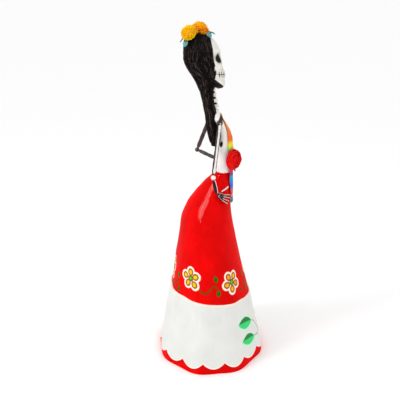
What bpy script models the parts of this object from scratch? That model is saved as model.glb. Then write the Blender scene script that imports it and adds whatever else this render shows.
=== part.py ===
"""Papier-mache catrina: a bell skirt on a hollow shell, a slim torso on a spine wire, a skull with hair and
paper flowers, a striped sash with a rose, and two wire-cored arms that turn at the shoulder and the elbow.

Frame: origin on the table at the middle of the skirt, +Z up, the figure looks along -Y, its right side is -X.
"""

import math

import bmesh
import bpy
from mathutils import Matrix, Vector

MM = 0.001

# ---- Driving dimensions, in millimetres -------------------------------------------------------------------
GAP = 0.4  # between a piece and the neighbour it is fitted to
SKIRT_WALL = 2.6
SKIRT_TOP_Z = 221.0
SKIRT_TOP_THICKNESS = 6.0
SCALLOPS = 15
FLOUNCE_THICKNESS = 1.4
FLOUNCE_TOP_Z = 78.5
FLOUNCE_BACK_RISE = 4.5  # the upper edge is higher at the back than at the front
FLOUNCE_CUSP_Z = 12.8
SCALLOP_DEPTH = 6.6
SCALLOP_TURN_DEG = 3.2
HEM_CORNERS = 8  # the hem is a rounded octagon, which fades out up the skirt
HEM_CORNER_TURN_DEG = 30.0
HEM_CORNER_SHARE = 0.022
HEM_CORNER_FADE_Z = 170.0
SPINE_RADIUS = 1.4
SHOULDER_WIRE_RADIUS = 1.0
HEAD_CENTRE = (0.0, 7.5, 355.0)
HEAD_TILT_DEG = -9.0  # the chin is up
ARM_RADIUS = 2.5
SHOULDER_BALL_RADIUS = 3.6
ELBOW_BEAD_RADIUS = 2.9
WRAP_END_RADIUS = 1.2  # the paper wrap thins to the wire at the elbow
FINGER_RADIUS = 0.85
FINGER_NAMES = ("thumb", "index_finger", "middle_finger", "ring_finger", "little_finger")

# Stations of the lofted forms: height, centre x, centre y, half width along X, half depth along Y.
SKIRT = [
    (0, 0, 0.0, 97.0, 64.0),
    (24, 0, 0.2, 90.0, 57.8),
    (50, 0, 0.9, 82.0, 52.5),
    (80, 0, 1.3, 73.5, 47.0),
    (122, 0, 3.6, 61.0, 39.0),
    (150, 0, 4.6, 52.0, 33.4),
    (168, 0, 4.8, 45.5, 30.8),
    (186, 0, 1.5, 36.5, 26.2),
    (200, 0, -4.2, 27.5, 21.0),
    (211, 0, -9.0, 20.0, 16.4),
    (221, 0, -14.4, 13.0, 10.8),
]
BODICE = [
    (221.5, 0, -16.0, 12.4, 9.4),
    (237, 0, -15.8, 12.8, 9.4),
    (252, 0, -15.8, 14.6, 9.8),
    (265, 0, -14.9, 16.8, 9.2),
    (273, 0, -13.2, 18.6, 8.2),
    (281, 0, -9.6, 21.4, 7.2),
    (288, 0, -5.2, 22.6, 7.0),
    (294, 0, -4.4, 17.0, 6.0),
    (298, 0, -4.6, 8.5, 5.2),
]
SHOULDER_TWIST_DEG = 9.0  # the right shoulder is forward of the left
TWIST_FROM_Z, TWIST_TO_Z = 235.0, 285.0
# The skull is lofted in its own upright frame, its middle at (0, 0, 0), and then tilted.
SKULL = [
    (-34.5, 0, -12.6, 4.4, 3.4),
    (-32, 0, -12.0, 8.0, 6.6),
    (-26, 0, -9.8, 11.2, 10.0),
    (-18, 0, -6.8, 13.6, 13.4),
    (-9, 0, -3.6, 15.9, 16.4),
    (0, 0, -1.4, 17.6, 18.2),
    (9, 0, -0.6, 18.8, 18.8),
    (18, 0, 0.0, 17.4, 17.4),
    (25, 0, 0.8, 12.8, 13.0),
    (29.5, 0, 1.4, 6.6, 7.0),
    (31, 0, 1.4, 2.0, 2.2),
]
HAIR = [
    (388, 0, 14.6, 7.0, 8.0),
    (386, 0, 14.6, 13.0, 14.0),
    (380, 0, 12.8, 18.0, 17.4),
    (370, 0, 12.2, 21.5, 18.8),
    (356, 0, 12.0, 22.4, 19.0),
    (347, 0, 9.4, 20.4, 18.0),
    (338, -0.5, 6.8, 16.6, 14.6),
    (328, -1.5, 6.2, 12.4, 9.6),
    (317, -4.0, 5.0, 9.8, 6.2),
    (303, -7.0, 2.6, 9.2, 5.4),
    (292, -9.5, -0.4, 8.8, 6.0),
    (281, -12.0, -1.4, 8.4, 5.9),
    (271, -14.0, -2.7, 7.6, 5.3),
    (262, -15.6, -4.0, 6.8, 4.8),
    (257, -16.2, -4.5, 6.0, 4.1),
]

# Wires and bones, as points on their centrelines.
SPINE = [
    (0, -1, 184),
    (0, -4, 200),
    (0, -11, 214),
    (0, -15.5, 228),
    (0, -16, 248),
    (0, -14.5, 266),
    (0, -10.5, 284),
    (0, -6, 296),
    (0, -2.5, 312),
    (0, 0.5, 328),
    (0, 2.5, 344),
]
NECK = [(0, -4.9, 299.8), (0, -2.5, 312), (0, 1.0, 331), (0, 1.8, 338)]
NECK_RADII = (5.2, 4.3, 4.6, 4.6)
RIGHT_SHOULDER = (-27.6, -10.1, 285.8)
RIGHT_ELBOW = (-31.5, -2.6, 221.4)
RIGHT_WRIST = (-35.0, -6.6, 203.2)
LEFT_SHOULDER = (27.6, -0.7, 287.6)
LEFT_ELBOW = (54.0, 16.6, 238.0)
LEFT_WRIST = (18.5, -24.6, 225.4)
SHOULDER_WIRE_OVERHANG = 4.6

# Each finger as its knuckle, middle joint and tip, measured from the wrist; the thumb comes first.
RIGHT_FINGERS = [
    [(3.0, -5.6, 0.6), (4.4, -10.2, 4.0), (6.4, -14.0, 7.0)],
    [(5.2, -7.4, -2.6), (9.4, -12.4, -4.0), (14.0, -16.2, -5.6)],
    [(4.0, -7.2, -4.8), (8.4, -12.0, -7.0), (12.6, -16.0, -9.0)],
    [(2.6, -6.6, -6.8), (6.2, -11.0, -9.6), (9.8, -15.0, -12.0)],
    [(1.0, -5.8, -8.4), (3.8, -9.4, -11.6), (6.2, -13.0, -14.4)],
]
LEFT_FINGERS = [
    [(-6.6, -2.2, 5.0), (-11.2, -4.8, 8.0), (-15.0, -7.8, 10.0)],
    [(-9.0, -3.8, 4.8), (-15.4, -7.4, 7.0), (-19.8, -10.4, 9.2)],
    [(-9.4, -4.0, 2.6), (-15.6, -6.6, 3.6), (-20.0, -8.4, 4.6)],
    [(-9.4, -3.8, 0.4), (-15.2, -5.6, 0.6), (-19.4, -6.4, 1.0)],
    [(-9.0, -3.4, -1.8), (-14.2, -4.6, -2.6), (-17.8, -5.0, -3.2)],
]

# Sash: a band that lies on the front of the torso and hangs to the hand.
SASH_TOP_Z, SASH_END_Z = 293.0, 193.0
SASH_HALF_WIDTH = 13.5
SASH_THICKNESS = 1.0
FRINGE_LENGTH = 8.0

# Rose on the front of the waist, facing forward and a little to the figure's right.
ROSE_BASE = (-11.6, -25.0, 239.4)
ROSE_AXIS = (-0.66, -0.75, 0.0)
ROSE_RADIUS = 12.4

# Head flowers: name, middle of the bloom's back, direction it faces, radius, colour.
MARIGOLDS = [
    ("marigold_right", (-13.4, 24.8, 385.0), (-0.55, 0.38, 0.74), 8.8, (0.95, 0.60, 0.02, 1)),
    ("marigold_top", (0.0, 14.0, 389.2), (0.0, -0.14, 0.99), 9.2, (0.95, 0.42, 0.02, 1)),
    ("marigold_left", (13.4, 24.8, 385.0), (0.55, 0.38, 0.74), 8.8, (0.95, 0.60, 0.02, 1)),
]
# Leaves of the head flowers: root, direction to the tip.
LEAVES = [
    ((-9.6, 4.4, 387.0), (-0.66, -0.44, -0.61)),
    ((0.0, 2.6, 387.8), (0.0, -0.9, -0.30)),
    ((9.6, 4.4, 387.0), (0.66, -0.44, -0.61)),
    ((-16.2, 28.0, 378.4), (-0.50, 0.36, -0.79)),
    ((0.0, 30.6, 381.8), (0.0, 0.6, -0.60)),
    ((16.2, 28.0, 378.4), (0.50, 0.36, -0.79)),
]
LEAF_LENGTH, LEAF_HALF_WIDTH, LEAF_THICKNESS = 8.0, 3.2, 0.8

RED = (0.75, 0.01, 0.01, 1)
WHITE = (0.82, 0.81, 0.77, 1)
BLACK = (0.03, 0.025, 0.022, 1)
TEAL = (0.05, 0.30, 0.32, 1)
KRAFT = (0.50, 0.35, 0.20, 1)
STEEL = (0.45, 0.45, 0.46, 1)


# ---- Tools ------------------------------------------------------------------------------------------------
def clear_scene():
    for obj in list(bpy.data.objects):
        bpy.data.objects.remove(obj)


def material(name, colour, roughness=0.5, metallic=0.0):
    found = bpy.data.materials.get(name)
    if found:
        return found
    made = bpy.data.materials.new(name)
    made.use_nodes = True
    shader = made.node_tree.nodes["Principled BSDF"]
    shader.inputs["Base Color"].default_value = colour
    shader.inputs["Roughness"].default_value = roughness
    shader.inputs["Metallic"].default_value = metallic
    return made


def add_object(name, bm, mat, sharp_deg=50.0):
    """Makes the bmesh, which is in millimetres, into an object in metres with its faces pointing out."""
    bmesh.ops.scale(bm, vec=(MM, MM, MM), verts=bm.verts)
    bmesh.ops.recalc_face_normals(bm, faces=bm.faces)
    mesh = bpy.data.meshes.new(name)
    bm.to_mesh(mesh)
    bm.free()
    mesh.shade_smooth()
    mesh.set_sharp_from_angle(angle=math.radians(sharp_deg))
    mesh.materials.append(mat)
    obj = bpy.data.objects.new(name, mesh)
    bpy.context.scene.collection.objects.link(obj)
    return obj


def hide(obj):
    obj.hide_render = True
    obj.display_type = "WIRE"
    return obj


def cut(obj, *cutters):
    for cutter in cutters:
        modifier = obj.modifiers.new(f"cut_{cutter.name}", "BOOLEAN")
        modifier.operation = "DIFFERENCE"
        modifier.solver = "EXACT"
        modifier.object = cutter


def join_to(obj, *others):
    for other in others:
        modifier = obj.modifiers.new(f"join_{other.name}", "BOOLEAN")
        modifier.operation = "UNION"
        modifier.solver = "EXACT"
        modifier.object = other


def smooth_between(values, t):
    """Catmull-Rom through a list of equally counted tuples; t runs from 0 to len(values) - 1."""
    i = min(max(int(t), 0), len(values) - 2)
    f = t - i
    p = [values[min(max(k, 0), len(values) - 1)] for k in (i - 1, i, i + 1, i + 2)]
    return tuple(
        0.5 * (2 * b + (c - a) * f + (2 * a - 5 * b + 4 * c - d) * f**2 + (3 * b - a - 3 * c + d) * f**3)
        for a, b, c, d in zip(*p)
    )


def section(stations, z):
    """Centre x, centre y, half width and half depth of a lofted form at height z, linear between stations."""
    rows = sorted(stations)
    z = min(max(z, rows[0][0]), rows[-1][0])
    for low, high in zip(rows, rows[1:]):
        if z <= high[0]:
            f = (z - low[0]) / (high[0] - low[0])
            return tuple(a + (b - a) * f for a, b in zip(low[1:], high[1:]))
    return rows[-1][1:]


def ring(bm, centre_x, centre_y, half_x, half_y, z, count, twist_deg=0.0):
    turn = math.radians(twist_deg)
    verts = []
    for k in range(count):
        t = 2 * math.pi * k / count
        x, y = half_x * math.cos(t), half_y * math.sin(t)
        verts.append(
            bm.verts.new(
                (
                    centre_x + x * math.cos(turn) - y * math.sin(turn),
                    centre_y + x * math.sin(turn) + y * math.cos(turn),
                    z,
                )
            )
        )
    return verts


def bridge(bm, low, high):
    count = len(low)
    for k in range(count):
        n = (k + 1) % count
        bm.faces.new((low[k], low[n], high[n], high[k]))


def loft(stations, count, grow=0.0, twist=None):
    """A closed form through elliptical sections; grow makes it larger all round, for a cutter."""
    bm = bmesh.new()
    rows = sorted(stations)
    rings = []
    for i, (z, cx, cy, hx, hy) in enumerate(rows):
        end = -grow if i == 0 else grow if i == len(rows) - 1 else 0.0
        turn = twist(z) if twist else 0.0
        rings.append(ring(bm, cx, cy, hx + grow, hy + grow, z + end, count, turn))
    for low, high in zip(rings, rings[1:]):
        bridge(bm, low, high)
    bm.faces.new(rings[0])
    bm.faces.new(rings[-1])
    return bm


def sweep(points, radii, sides=8, steps=3):
    """A round bar along a smooth line through the points, its radius going smoothly through the radii."""
    rows = [(*p, r) for p, r in zip(points, radii)]
    count = (len(rows) - 1) * steps
    line = [smooth_between(rows, k / steps) for k in range(count + 1)]
    bm = bmesh.new()
    side = None
    rings = []
    for k, (x, y, z, r) in enumerate(line):
        a, b = line[max(k - 1, 0)], line[min(k + 1, count)]
        along = (Vector(b[:3]) - Vector(a[:3])).normalized()
        if side is None:
            side = along.orthogonal().normalized()
        side = (side - along * side.dot(along)).normalized()
        up = along.cross(side)
        rings.append(
            [
                bm.verts.new(
                    Vector((x, y, z))
                    + r * (math.cos(2 * math.pi * i / sides) * side + math.sin(2 * math.pi * i / sides) * up)
                )
                for i in range(sides)
            ]
        )
    for low, high in zip(rings, rings[1:]):
        bridge(bm, low, high)
    bm.faces.new(rings[0])
    bm.faces.new(rings[-1])
    return bm


def bar(name, points, radius, mat, sides=8, steps=3):
    return add_object(name, sweep(points, [radius] * len(points), sides, steps), mat)


def ball(centre, scale, segments=14, rings=8):
    bm = bmesh.new()
    bmesh.ops.create_uvsphere(bm, u_segments=segments, v_segments=rings, radius=1.0)
    bmesh.ops.scale(bm, vec=scale, verts=bm.verts)
    bmesh.ops.translate(bm, vec=centre, verts=bm.verts)
    return bm


def along_axis(bm, axis, base):
    """Turns a form built up +Z so that it points along axis from base."""
    turn = Vector((0, 0, 1)).rotation_difference(Vector(axis).normalized())
    bmesh.ops.rotate(bm, cent=(0, 0, 0), matrix=turn.to_matrix(), verts=bm.verts)
    bmesh.ops.translate(bm, vec=base, verts=bm.verts)
    return bm


def mix(a, b, f):
    return tuple(p + (q - p) * f for p, q in zip(a, b))


# ---- Skirt and flounce ------------------------------------------------------------------------------------
def skirt_point(z, turn, out):
    """A point on the skirt's outer surface, moved out of it horizontally."""
    _, cy, hx, hy = section(SKIRT, z)
    corner = math.cos(HEM_CORNERS * (turn - math.radians(HEM_CORNER_TURN_DEG)))
    share = 1 + HEM_CORNER_SHARE * max(0.0, 1 - z / HEM_CORNER_FADE_Z) * corner
    return Vector(((hx * share + out) * math.cos(turn), cy + (hy * share + out) * math.sin(turn), z))


def skirt_ring(bm, z, out, count):
    return [bm.verts.new(skirt_point(z, 2 * math.pi * k / count, out)) for k in range(count)]


def build_skirt(spine_cutter):
    count = 48
    bm = bmesh.new()
    outer = [skirt_ring(bm, z, 0.0, count) for z, *_ in SKIRT]
    inner_top = SKIRT_TOP_Z - SKIRT_TOP_THICKNESS
    inner_heights = [z for z, *_ in SKIRT if z < inner_top - 5] + [inner_top]
    inner = [skirt_ring(bm, z, -SKIRT_WALL, count) for z in inner_heights]
    for low, high in zip(outer, outer[1:]):
        bridge(bm, low, high)
    for low, high in zip(inner, inner[1:]):
        bridge(bm, high, low)
    bridge(bm, inner[0], outer[0])
    bm.faces.new(outer[-1])
    bm.faces.new(inner[-1])
    skirt = add_object("skirt_shell", bm, material("red_paint", RED, 0.25))
    cut(skirt, spine_cutter)


def build_flounce():
    """The white paper layer round the lower skirt, its lower edge cut in scallops."""
    per_scallop = 6
    count = SCALLOPS * per_scallop
    bm = bmesh.new()
    rows = 5
    columns = []
    for k in range(count):
        turn = 2 * math.pi * k / count + math.radians(SCALLOP_TURN_DEG)
        top = FLOUNCE_TOP_Z + FLOUNCE_BACK_RISE * math.sin(turn)
        arch = abs(math.sin(math.pi * k / per_scallop))
        bottom = FLOUNCE_CUSP_Z - SCALLOP_DEPTH * arch**0.8
        heights = [bottom + (top - bottom) * r / rows for r in range(rows + 1)]
        columns.append(
            [
                [bm.verts.new(skirt_point(z, turn, out)) for z in heights]
                for out in (GAP, GAP + FLOUNCE_THICKNESS)
            ]
        )
    for k in range(count):
        (in_a, out_a), (in_b, out_b) = columns[k], columns[(k + 1) % count]
        for r in range(rows):
            bm.faces.new((out_a[r], out_b[r], out_b[r + 1], out_a[r + 1]))
            bm.faces.new((in_b[r], in_a[r], in_a[r + 1], in_b[r + 1]))
        bm.faces.new((in_a[0], in_b[0], out_b[0], out_a[0]))
        bm.faces.new((out_a[-1], out_b[-1], in_b[-1], in_a[-1]))
    add_object("flounce", bm, material("white_paint", WHITE, 0.5))


def build_hip_disc(spine_cutter):
    """A cardboard disc inside the hips, which holds the foot of the spine wire."""
    rows = []
    for z in (190.0, 192.4):
        cx, cy, hx, hy = section(SKIRT, z)
        rows.append((z, cx, cy, hx - SKIRT_WALL - 2 * GAP, hy - SKIRT_WALL - 2 * GAP))
    disc = add_object("hip_disc", loft(rows, 28), material("cardboard", KRAFT, 0.9))
    cut(disc, spine_cutter)


# ---- Torso, neck and head ---------------------------------------------------------------------------------
def bodice_twist(z):
    share = min(max((z - TWIST_FROM_Z) / (TWIST_TO_Z - TWIST_FROM_Z), 0.0), 1.0)
    return SHOULDER_TWIST_DEG * share


def head_matrix():
    return Matrix.Translation(HEAD_CENTRE) @ Matrix.Rotation(math.radians(HEAD_TILT_DEG), 4, "X")


def skull_form(grow):
    bm = loft(SKULL, 24, grow)
    bmesh.ops.transform(bm, matrix=head_matrix(), verts=bm.verts)
    return bm


def in_head(bm):
    bmesh.ops.transform(bm, matrix=head_matrix(), verts=bm.verts)
    return bm


def build_skull(cutters):
    """Cranium, cheeks and jaw in one, with hollows for the eyes and the nose."""
    bone = material("bone_paint", WHITE, 0.35)
    skull = add_object("skull", skull_form(0.0), bone)
    hollows = [
        add_object(f"eye_hollow_{side}", in_head(ball((x, -19.2, 0.6), (5.2, 5.0, 5.8), 12, 6)), bone)
        for side, x in (("right", -7.6), ("left", 7.6))
    ]
    hollows.append(add_object("nose_hollow", in_head(ball((0, -21.0, -10.6), (2.4, 3.0, 3.4), 10, 6)), bone))
    cut(skull, *[hide(h) for h in hollows], *cutters)


def hair_form(grow):
    return loft(HAIR, 22, grow)


def build_neck(spine_cutter):
    neck = add_object("neck", sweep(NECK, NECK_RADII, 14, 3), material("bone_paint", WHITE, 0.35))
    cut(neck, spine_cutter)


def build_hair(cutters):
    """The hank of fibre as its outer form: over the back of the head and down the back to the right."""
    fibre = material("black_fibre", BLACK, 0.6)
    hair = add_object("hair", hair_form(0.0), fibre)
    bm = bmesh.new()
    bmesh.ops.create_cube(bm, size=1.0)
    bmesh.ops.scale(bm, vec=(70, 40, 70), verts=bm.verts)
    bmesh.ops.translate(bm, vec=(0, -30.9, 8), verts=bm.verts)
    face_block = hide(add_object("face_block", in_head(bm), fibre))
    cut(hair, face_block, *cutters)


# ---- Head flowers -----------------------------------------------------------------------------------------
def build_marigold(name, base, axis, radius, colour, hair_cutter):
    """A domed bloom, its edge ruffled, its back fitted to the head."""
    count = 28
    ruffles = 7
    bm = bmesh.new()
    profile = [(0.62, 0.0), (1.0, 0.24), (1.0, 0.48), (0.88, 0.78), (0.58, 1.02), (0.22, 1.14)]
    rings = []
    for share, height in profile:
        verts = []
        for k in range(count):
            t = 2 * math.pi * k / count
            wave = 1 + 0.07 * math.cos(ruffles * t + 5 * height)
            r = radius * share * wave
            verts.append(bm.verts.new((r * math.cos(t), r * math.sin(t), radius * height)))
        rings.append(verts)
    for low, high in zip(rings, rings[1:]):
        bridge(bm, low, high)
    bm.faces.new(rings[0])
    bm.faces.new(rings[-1])
    bloom = add_object(name, along_axis(bm, axis, base), material(name, colour, 0.8))
    cut(bloom, hair_cutter)


def build_leaf(name, root, direction):
    """A pointed leaf, flat underneath and a little thicker along its middle."""
    bm = bmesh.new()
    along = Vector(direction).normalized()
    side = along.cross(Vector((0, 0, 1))).normalized()
    up = side.cross(along)
    steps = 6
    edges = []
    for k in range(steps + 1):
        f = k / steps
        half = LEAF_HALF_WIDTH * math.sin(math.pi * (0.08 + 0.84 * f)) ** 0.9
        middle = Vector(root) + along * LEAF_LENGTH * f
        edges.append(
            [
                bm.verts.new(middle - side * half),
                bm.verts.new(middle + up * LEAF_THICKNESS),
                bm.verts.new(middle + side * half),
                bm.verts.new(middle - up * LEAF_THICKNESS * 0.4),
            ]
        )
    for low, high in zip(edges, edges[1:]):
        bridge(bm, low, high)
    bm.faces.new(edges[0])
    bm.faces.new(edges[-1])
    add_object(name, bm, material("teal_paper", TEAL, 0.7))


# ---- Sash and rose ----------------------------------------------------------------------------------------
def front_of_body(z, x):
    """The y of the front surface of the torso or skirt at height z, x from the middle."""
    if z > SKIRT_TOP_Z + 8:
        form = section(BODICE, z)
        turn = math.radians(bodice_twist(z))
    else:
        form = section(SKIRT, z)
        turn = 0.0
    _, cy, hx, hy = form
    share = min(abs(x) / hx, 0.96)
    return cy - hy * math.sqrt(1 - share**2) + x * math.sin(turn)


def sash_line(z, x):
    """The y of the sash's inner face: it hangs from the bust, so it never goes back in below it."""
    levels = [z + 3 * k for k in range(16) if z + 3 * k < 268]
    here = [front_of_body(z, x)]
    bust = [front_of_body(level, x) for level in levels]
    return min(here + [b + 0.02 * abs(i) for i, b in enumerate(bust)]) - 2 * GAP


def build_sash():
    rows, columns = 22, 8
    cloth = material("striped_cloth", (0.85, 0.35, 0.05, 1), 0.8)

    def strip(name, top, bottom, count, half_width, thickness, mat):
        bm = bmesh.new()
        grid = []
        for r in range(count + 1):
            z = top + (bottom - top) * r / count
            narrow = min(1.0, 0.36 + 0.64 * (SASH_TOP_Z - z) / 22.0)
            pair = []
            for depth in (0.0, thickness):
                pair.append(
                    [
                        bm.verts.new((x, sash_line(z, x) - depth, z))
                        for x in (
                            half_width * narrow * (-1 + 2 * c / columns) for c in range(columns + 1)
                        )
                    ]
                )
            grid.append(pair)
        for (in_a, out_a), (in_b, out_b) in zip(grid, grid[1:]):
            for c in range(columns):
                bm.faces.new((out_a[c], out_b[c], out_b[c + 1], out_a[c + 1]))
                bm.faces.new((in_a[c + 1], in_b[c + 1], in_b[c], in_a[c]))
            bm.faces.new((in_a[0], in_b[0], out_b[0], out_a[0]))
            bm.faces.new((out_a[-1], out_b[-1], in_b[-1], in_a[-1]))
        for inner, outer in (grid[0], grid[-1]):
            for c in range(columns):
                bm.faces.new((inner[c], inner[c + 1], outer[c + 1], outer[c]))
        add_object(name, bm, mat)

    strip("sash", SASH_TOP_Z, SASH_END_Z, rows, SASH_HALF_WIDTH, SASH_THICKNESS, cloth)
    strip(
        "sash_fringe",
        SASH_END_Z - GAP,
        SASH_END_Z - GAP - FRINGE_LENGTH,
        3,
        SASH_HALF_WIDTH,
        SASH_THICKNESS,
        cloth,
    )


def build_rose():
    """An outer whorl of petals as a ruffled cup, a bud inside it, and a wire stem into the bodice."""
    red = material("rose_paper", (0.62, 0.01, 0.02, 1), 0.6)
    count, petals = 25, 5
    bm = bmesh.new()
    rings = []
    outer = [(0.34, 0.0), (0.82, 0.06), (1.0, 0.22), (0.97, 0.40)]
    inner = [(0.89, 0.40), (0.88, 0.28), (0.70, 0.17), (0.26, 0.12)]
    for share, height in outer + inner:
        verts = []
        for k in range(count):
            t = 2 * math.pi * k / count
            wave = 1 - 0.10 * abs(math.sin(petals * t / 2)) * height / 0.40
            r = ROSE_RADIUS * share * wave
            verts.append(bm.verts.new((r * math.cos(t), r * math.sin(t), ROSE_RADIUS * height)))
        rings.append(verts)
    for low, high in zip(rings, rings[1:]):
        bridge(bm, low, high)
    bm.faces.new(rings[0])
    bm.faces.new(rings[-1])
    add_object("rose_petals", along_axis(bm, ROSE_AXIS, ROSE_BASE), red)

    bm = bmesh.new()
    profile = [(0.22, 0.16), (0.62, 0.22), (0.74, 0.40), (0.62, 0.60), (0.32, 0.74)]
    rings = []
    for share, height in profile:
        verts = []
        for k in range(20):
            t = 2 * math.pi * k / 20
            r = ROSE_RADIUS * share * (1 + 0.05 * math.cos(4 * t + 8 * height))
            verts.append(bm.verts.new((r * math.cos(t), r * math.sin(t), ROSE_RADIUS * height)))
        rings.append(verts)
    for low, high in zip(rings, rings[1:]):
        bridge(bm, low, high)
    bm.faces.new(rings[0])
    bm.faces.new(rings[-1])
    add_object("rose_bud", along_axis(bm, ROSE_AXIS, ROSE_BASE), red)


# ---- Arms -------------------------------------------------------------------------------------------------
def build_shoulder_wire():
    steel = material("steel_wire", STEEL, 0.4, 1.0)
    right, left = Vector(RIGHT_SHOULDER), Vector(LEFT_SHOULDER)
    out = (right - left).normalized() * SHOULDER_WIRE_OVERHANG
    ends = [tuple(left - out), tuple(right + out)]
    bar("shoulder_wire", ends, SHOULDER_WIRE_RADIUS, steel, 8, 2)
    bore_ends = [tuple(left - 2 * out), tuple(right + 2 * out)]
    return hide(bar("shoulder_wire_bore", bore_ends, SHOULDER_WIRE_RADIUS + GAP, steel, 8, 2))


def build_arm(side, shoulder, elbow, wrist, fingers, wire_bore):
    skin = material("arm_paint", BLACK, 0.4)
    bone = material("bone_paint", WHITE, 0.35)
    upper_length = (Vector(elbow) - Vector(shoulder)).length
    upper_line = [
        shoulder,
        mix(shoulder, elbow, 0.5),
        mix(elbow, shoulder, (ELBOW_BEAD_RADIUS + 4.0) / upper_length),
        mix(elbow, shoulder, (ELBOW_BEAD_RADIUS + GAP) / upper_length),
    ]
    upper = add_object(
        f"{side}_upper_arm",
        sweep(upper_line, [ARM_RADIUS, ARM_RADIUS, ARM_RADIUS, WRAP_END_RADIUS], 10, 2),
        skin,
    )
    shoulder_ball = hide(
        add_object(f"{side}_shoulder_ball", ball(shoulder, [SHOULDER_BALL_RADIUS] * 3, 12, 8), skin)
    )
    join_to(upper, shoulder_ball)
    cut(upper, wire_bore)
    add_object(f"{side}_elbow_bead", ball(elbow, [ELBOW_BEAD_RADIUS] * 3, 14, 8), bone)
    length = (Vector(wrist) - Vector(elbow)).length
    line = [
        mix(elbow, wrist, (ELBOW_BEAD_RADIUS + GAP) / length),
        mix(elbow, wrist, (ELBOW_BEAD_RADIUS + 4.0) / length),
        mix(elbow, wrist, 0.65),
        wrist,
    ]
    radii = [WRAP_END_RADIUS, ARM_RADIUS * 0.95, ARM_RADIUS * 0.9, ARM_RADIUS * 0.8]
    add_object(f"{side}_forearm", sweep(line, radii, 10, 2), skin)
    build_hand(side, Vector(elbow), Vector(wrist), fingers, skin)


def build_hand(side, elbow, wrist, fingers, skin):
    """A flat palm that widens to the knuckles, and four fingers and a thumb as bent wires."""
    knuckles = [wrist + Vector(f[0]) for f in fingers[1:]]
    far = sum(knuckles, Vector()) / len(knuckles)
    toward = (far - wrist).normalized()
    across = knuckles[0] - knuckles[-1]
    across = (across - toward * across.dot(toward)).normalized()
    through = toward.cross(across)
    # The forearm ends in a slanted ring, so the palm starts clear of its far edge.
    slant = math.sin((wrist - elbow).angle(toward))
    start = GAP + ARM_RADIUS * 0.8 * slant
    length = (far - wrist).length - start
    half = max(abs((k - far).dot(across)) for k in knuckles) + FINGER_RADIUS * 1.3
    bm = bmesh.new()
    rings = []
    for share, wide, thick in [(0, 1.3, 1.2), (0.3, half * 0.72, 1.7), (0.8, half, 1.6), (1, half * 0.97, 1.1)]:
        middle = wrist + toward * (start + length * share)
        rings.append(
            [
                bm.verts.new(
                    middle
                    + across * wide * math.cos(2 * math.pi * k / 12)
                    + through * thick * math.sin(2 * math.pi * k / 12)
                )
                for k in range(12)
            ]
        )
    for low, high in zip(rings, rings[1:]):
        bridge(bm, low, high)
    bm.faces.new(rings[0])
    bm.faces.new(rings[-1])
    add_object(f"{side}_palm", bm, skin)
    for name, finger in zip(FINGER_NAMES, fingers):
        points = [wrist + Vector(p) for p in finger]
        if name == "thumb":
            points[0] = wrist + toward * (start + length * 0.5) + across * (half + GAP + FINGER_RADIUS)
        else:
            points[0] += toward * ((far - points[0]).dot(toward) + GAP + FINGER_RADIUS * 0.5)
        bar(f"{side}_{name}", [tuple(p) for p in points], FINGER_RADIUS, skin, 6, 2)


# ---- Assembly ---------------------------------------------------------------------------------------------
def hang_from(joint, point, pieces, parent=None):
    """Parents the pieces to an empty on the joint's axis, in their places."""
    empty = bpy.data.objects.new(f"{joint}_joint", None)
    bpy.context.scene.collection.objects.link(empty)
    empty.location = Vector(point) * MM
    if parent:
        empty.parent = parent
        empty.location -= parent.location
    for piece in pieces:
        child = bpy.data.objects[piece]
        child.parent = empty
        child.matrix_parent_inverse = Matrix.Translation(-Vector(point) * MM)
    return empty


def main():
    clear_scene()
    steel = material("steel_wire", STEEL, 0.4, 1.0)
    bar("spine_wire", SPINE, SPINE_RADIUS, steel, 8, 2)
    above_and_below = [(0, 0, 176)] + SPINE[:-1] + [(0, 2.6, 345.5)]
    spine_bore = hide(bar("spine_bore", above_and_below, SPINE_RADIUS + GAP, steel, 8, 2))
    wire_bore = build_shoulder_wire()
    bone = material("bone_paint", WHITE, 0.35)
    neck_line = [(0, -5.4, 297.6)] + NECK[1:3] + [(0, 1.95, 339)]
    neck_bore = hide(
        add_object("neck_bore", sweep(neck_line, [r + GAP for r in NECK_RADII], 14, 3), bone)
    )
    bodice_bore = hide(add_object("bodice_bore", loft(BODICE, 24, 2 * GAP, bodice_twist), bone))
    skull_bore = hide(add_object("skull_bore", skull_form(2 * GAP), bone))

    build_skirt(spine_bore)
    build_flounce()
    build_hip_disc(spine_bore)
    bodice = add_object("bodice", loft(BODICE, 24, 0.0, bodice_twist), material("white_paint", WHITE, 0.5))
    cut(bodice, spine_bore, wire_bore)
    build_neck(spine_bore)
    build_skull([neck_bore, spine_bore])
    build_hair([skull_bore, neck_bore, bodice_bore])
    hair_bore = hide(add_object("hair_bore", hair_form(GAP), bone))
    for flower in MARIGOLDS:
        build_marigold(*flower, hair_bore)
    for k, (root, direction) in enumerate(LEAVES, 1):
        build_leaf(f"crown_leaf_{k}", root, direction)
    build_sash()
    build_rose()
    build_arm("right", RIGHT_SHOULDER, RIGHT_ELBOW, RIGHT_WRIST, RIGHT_FINGERS, wire_bore)
    build_arm("left", LEFT_SHOULDER, LEFT_ELBOW, LEFT_WRIST, LEFT_FINGERS, wire_bore)

    lower = ["forearm", "palm", *FINGER_NAMES]
    for side, shoulder, elbow in (
        ("right", RIGHT_SHOULDER, RIGHT_ELBOW),
        ("left", LEFT_SHOULDER, LEFT_ELBOW),
    ):
        held = ["rose_petals", "rose_bud"] if side == "left" else []
        upper_pieces = [f"{side}_upper_arm", f"{side}_shoulder_ball", f"{side}_elbow_bead"]
        upper = hang_from(f"{side}_shoulder", shoulder, upper_pieces)
        hang_from(f"{side}_elbow", elbow, [f"{side}_{name}" for name in lower] + held, upper)


main()
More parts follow.
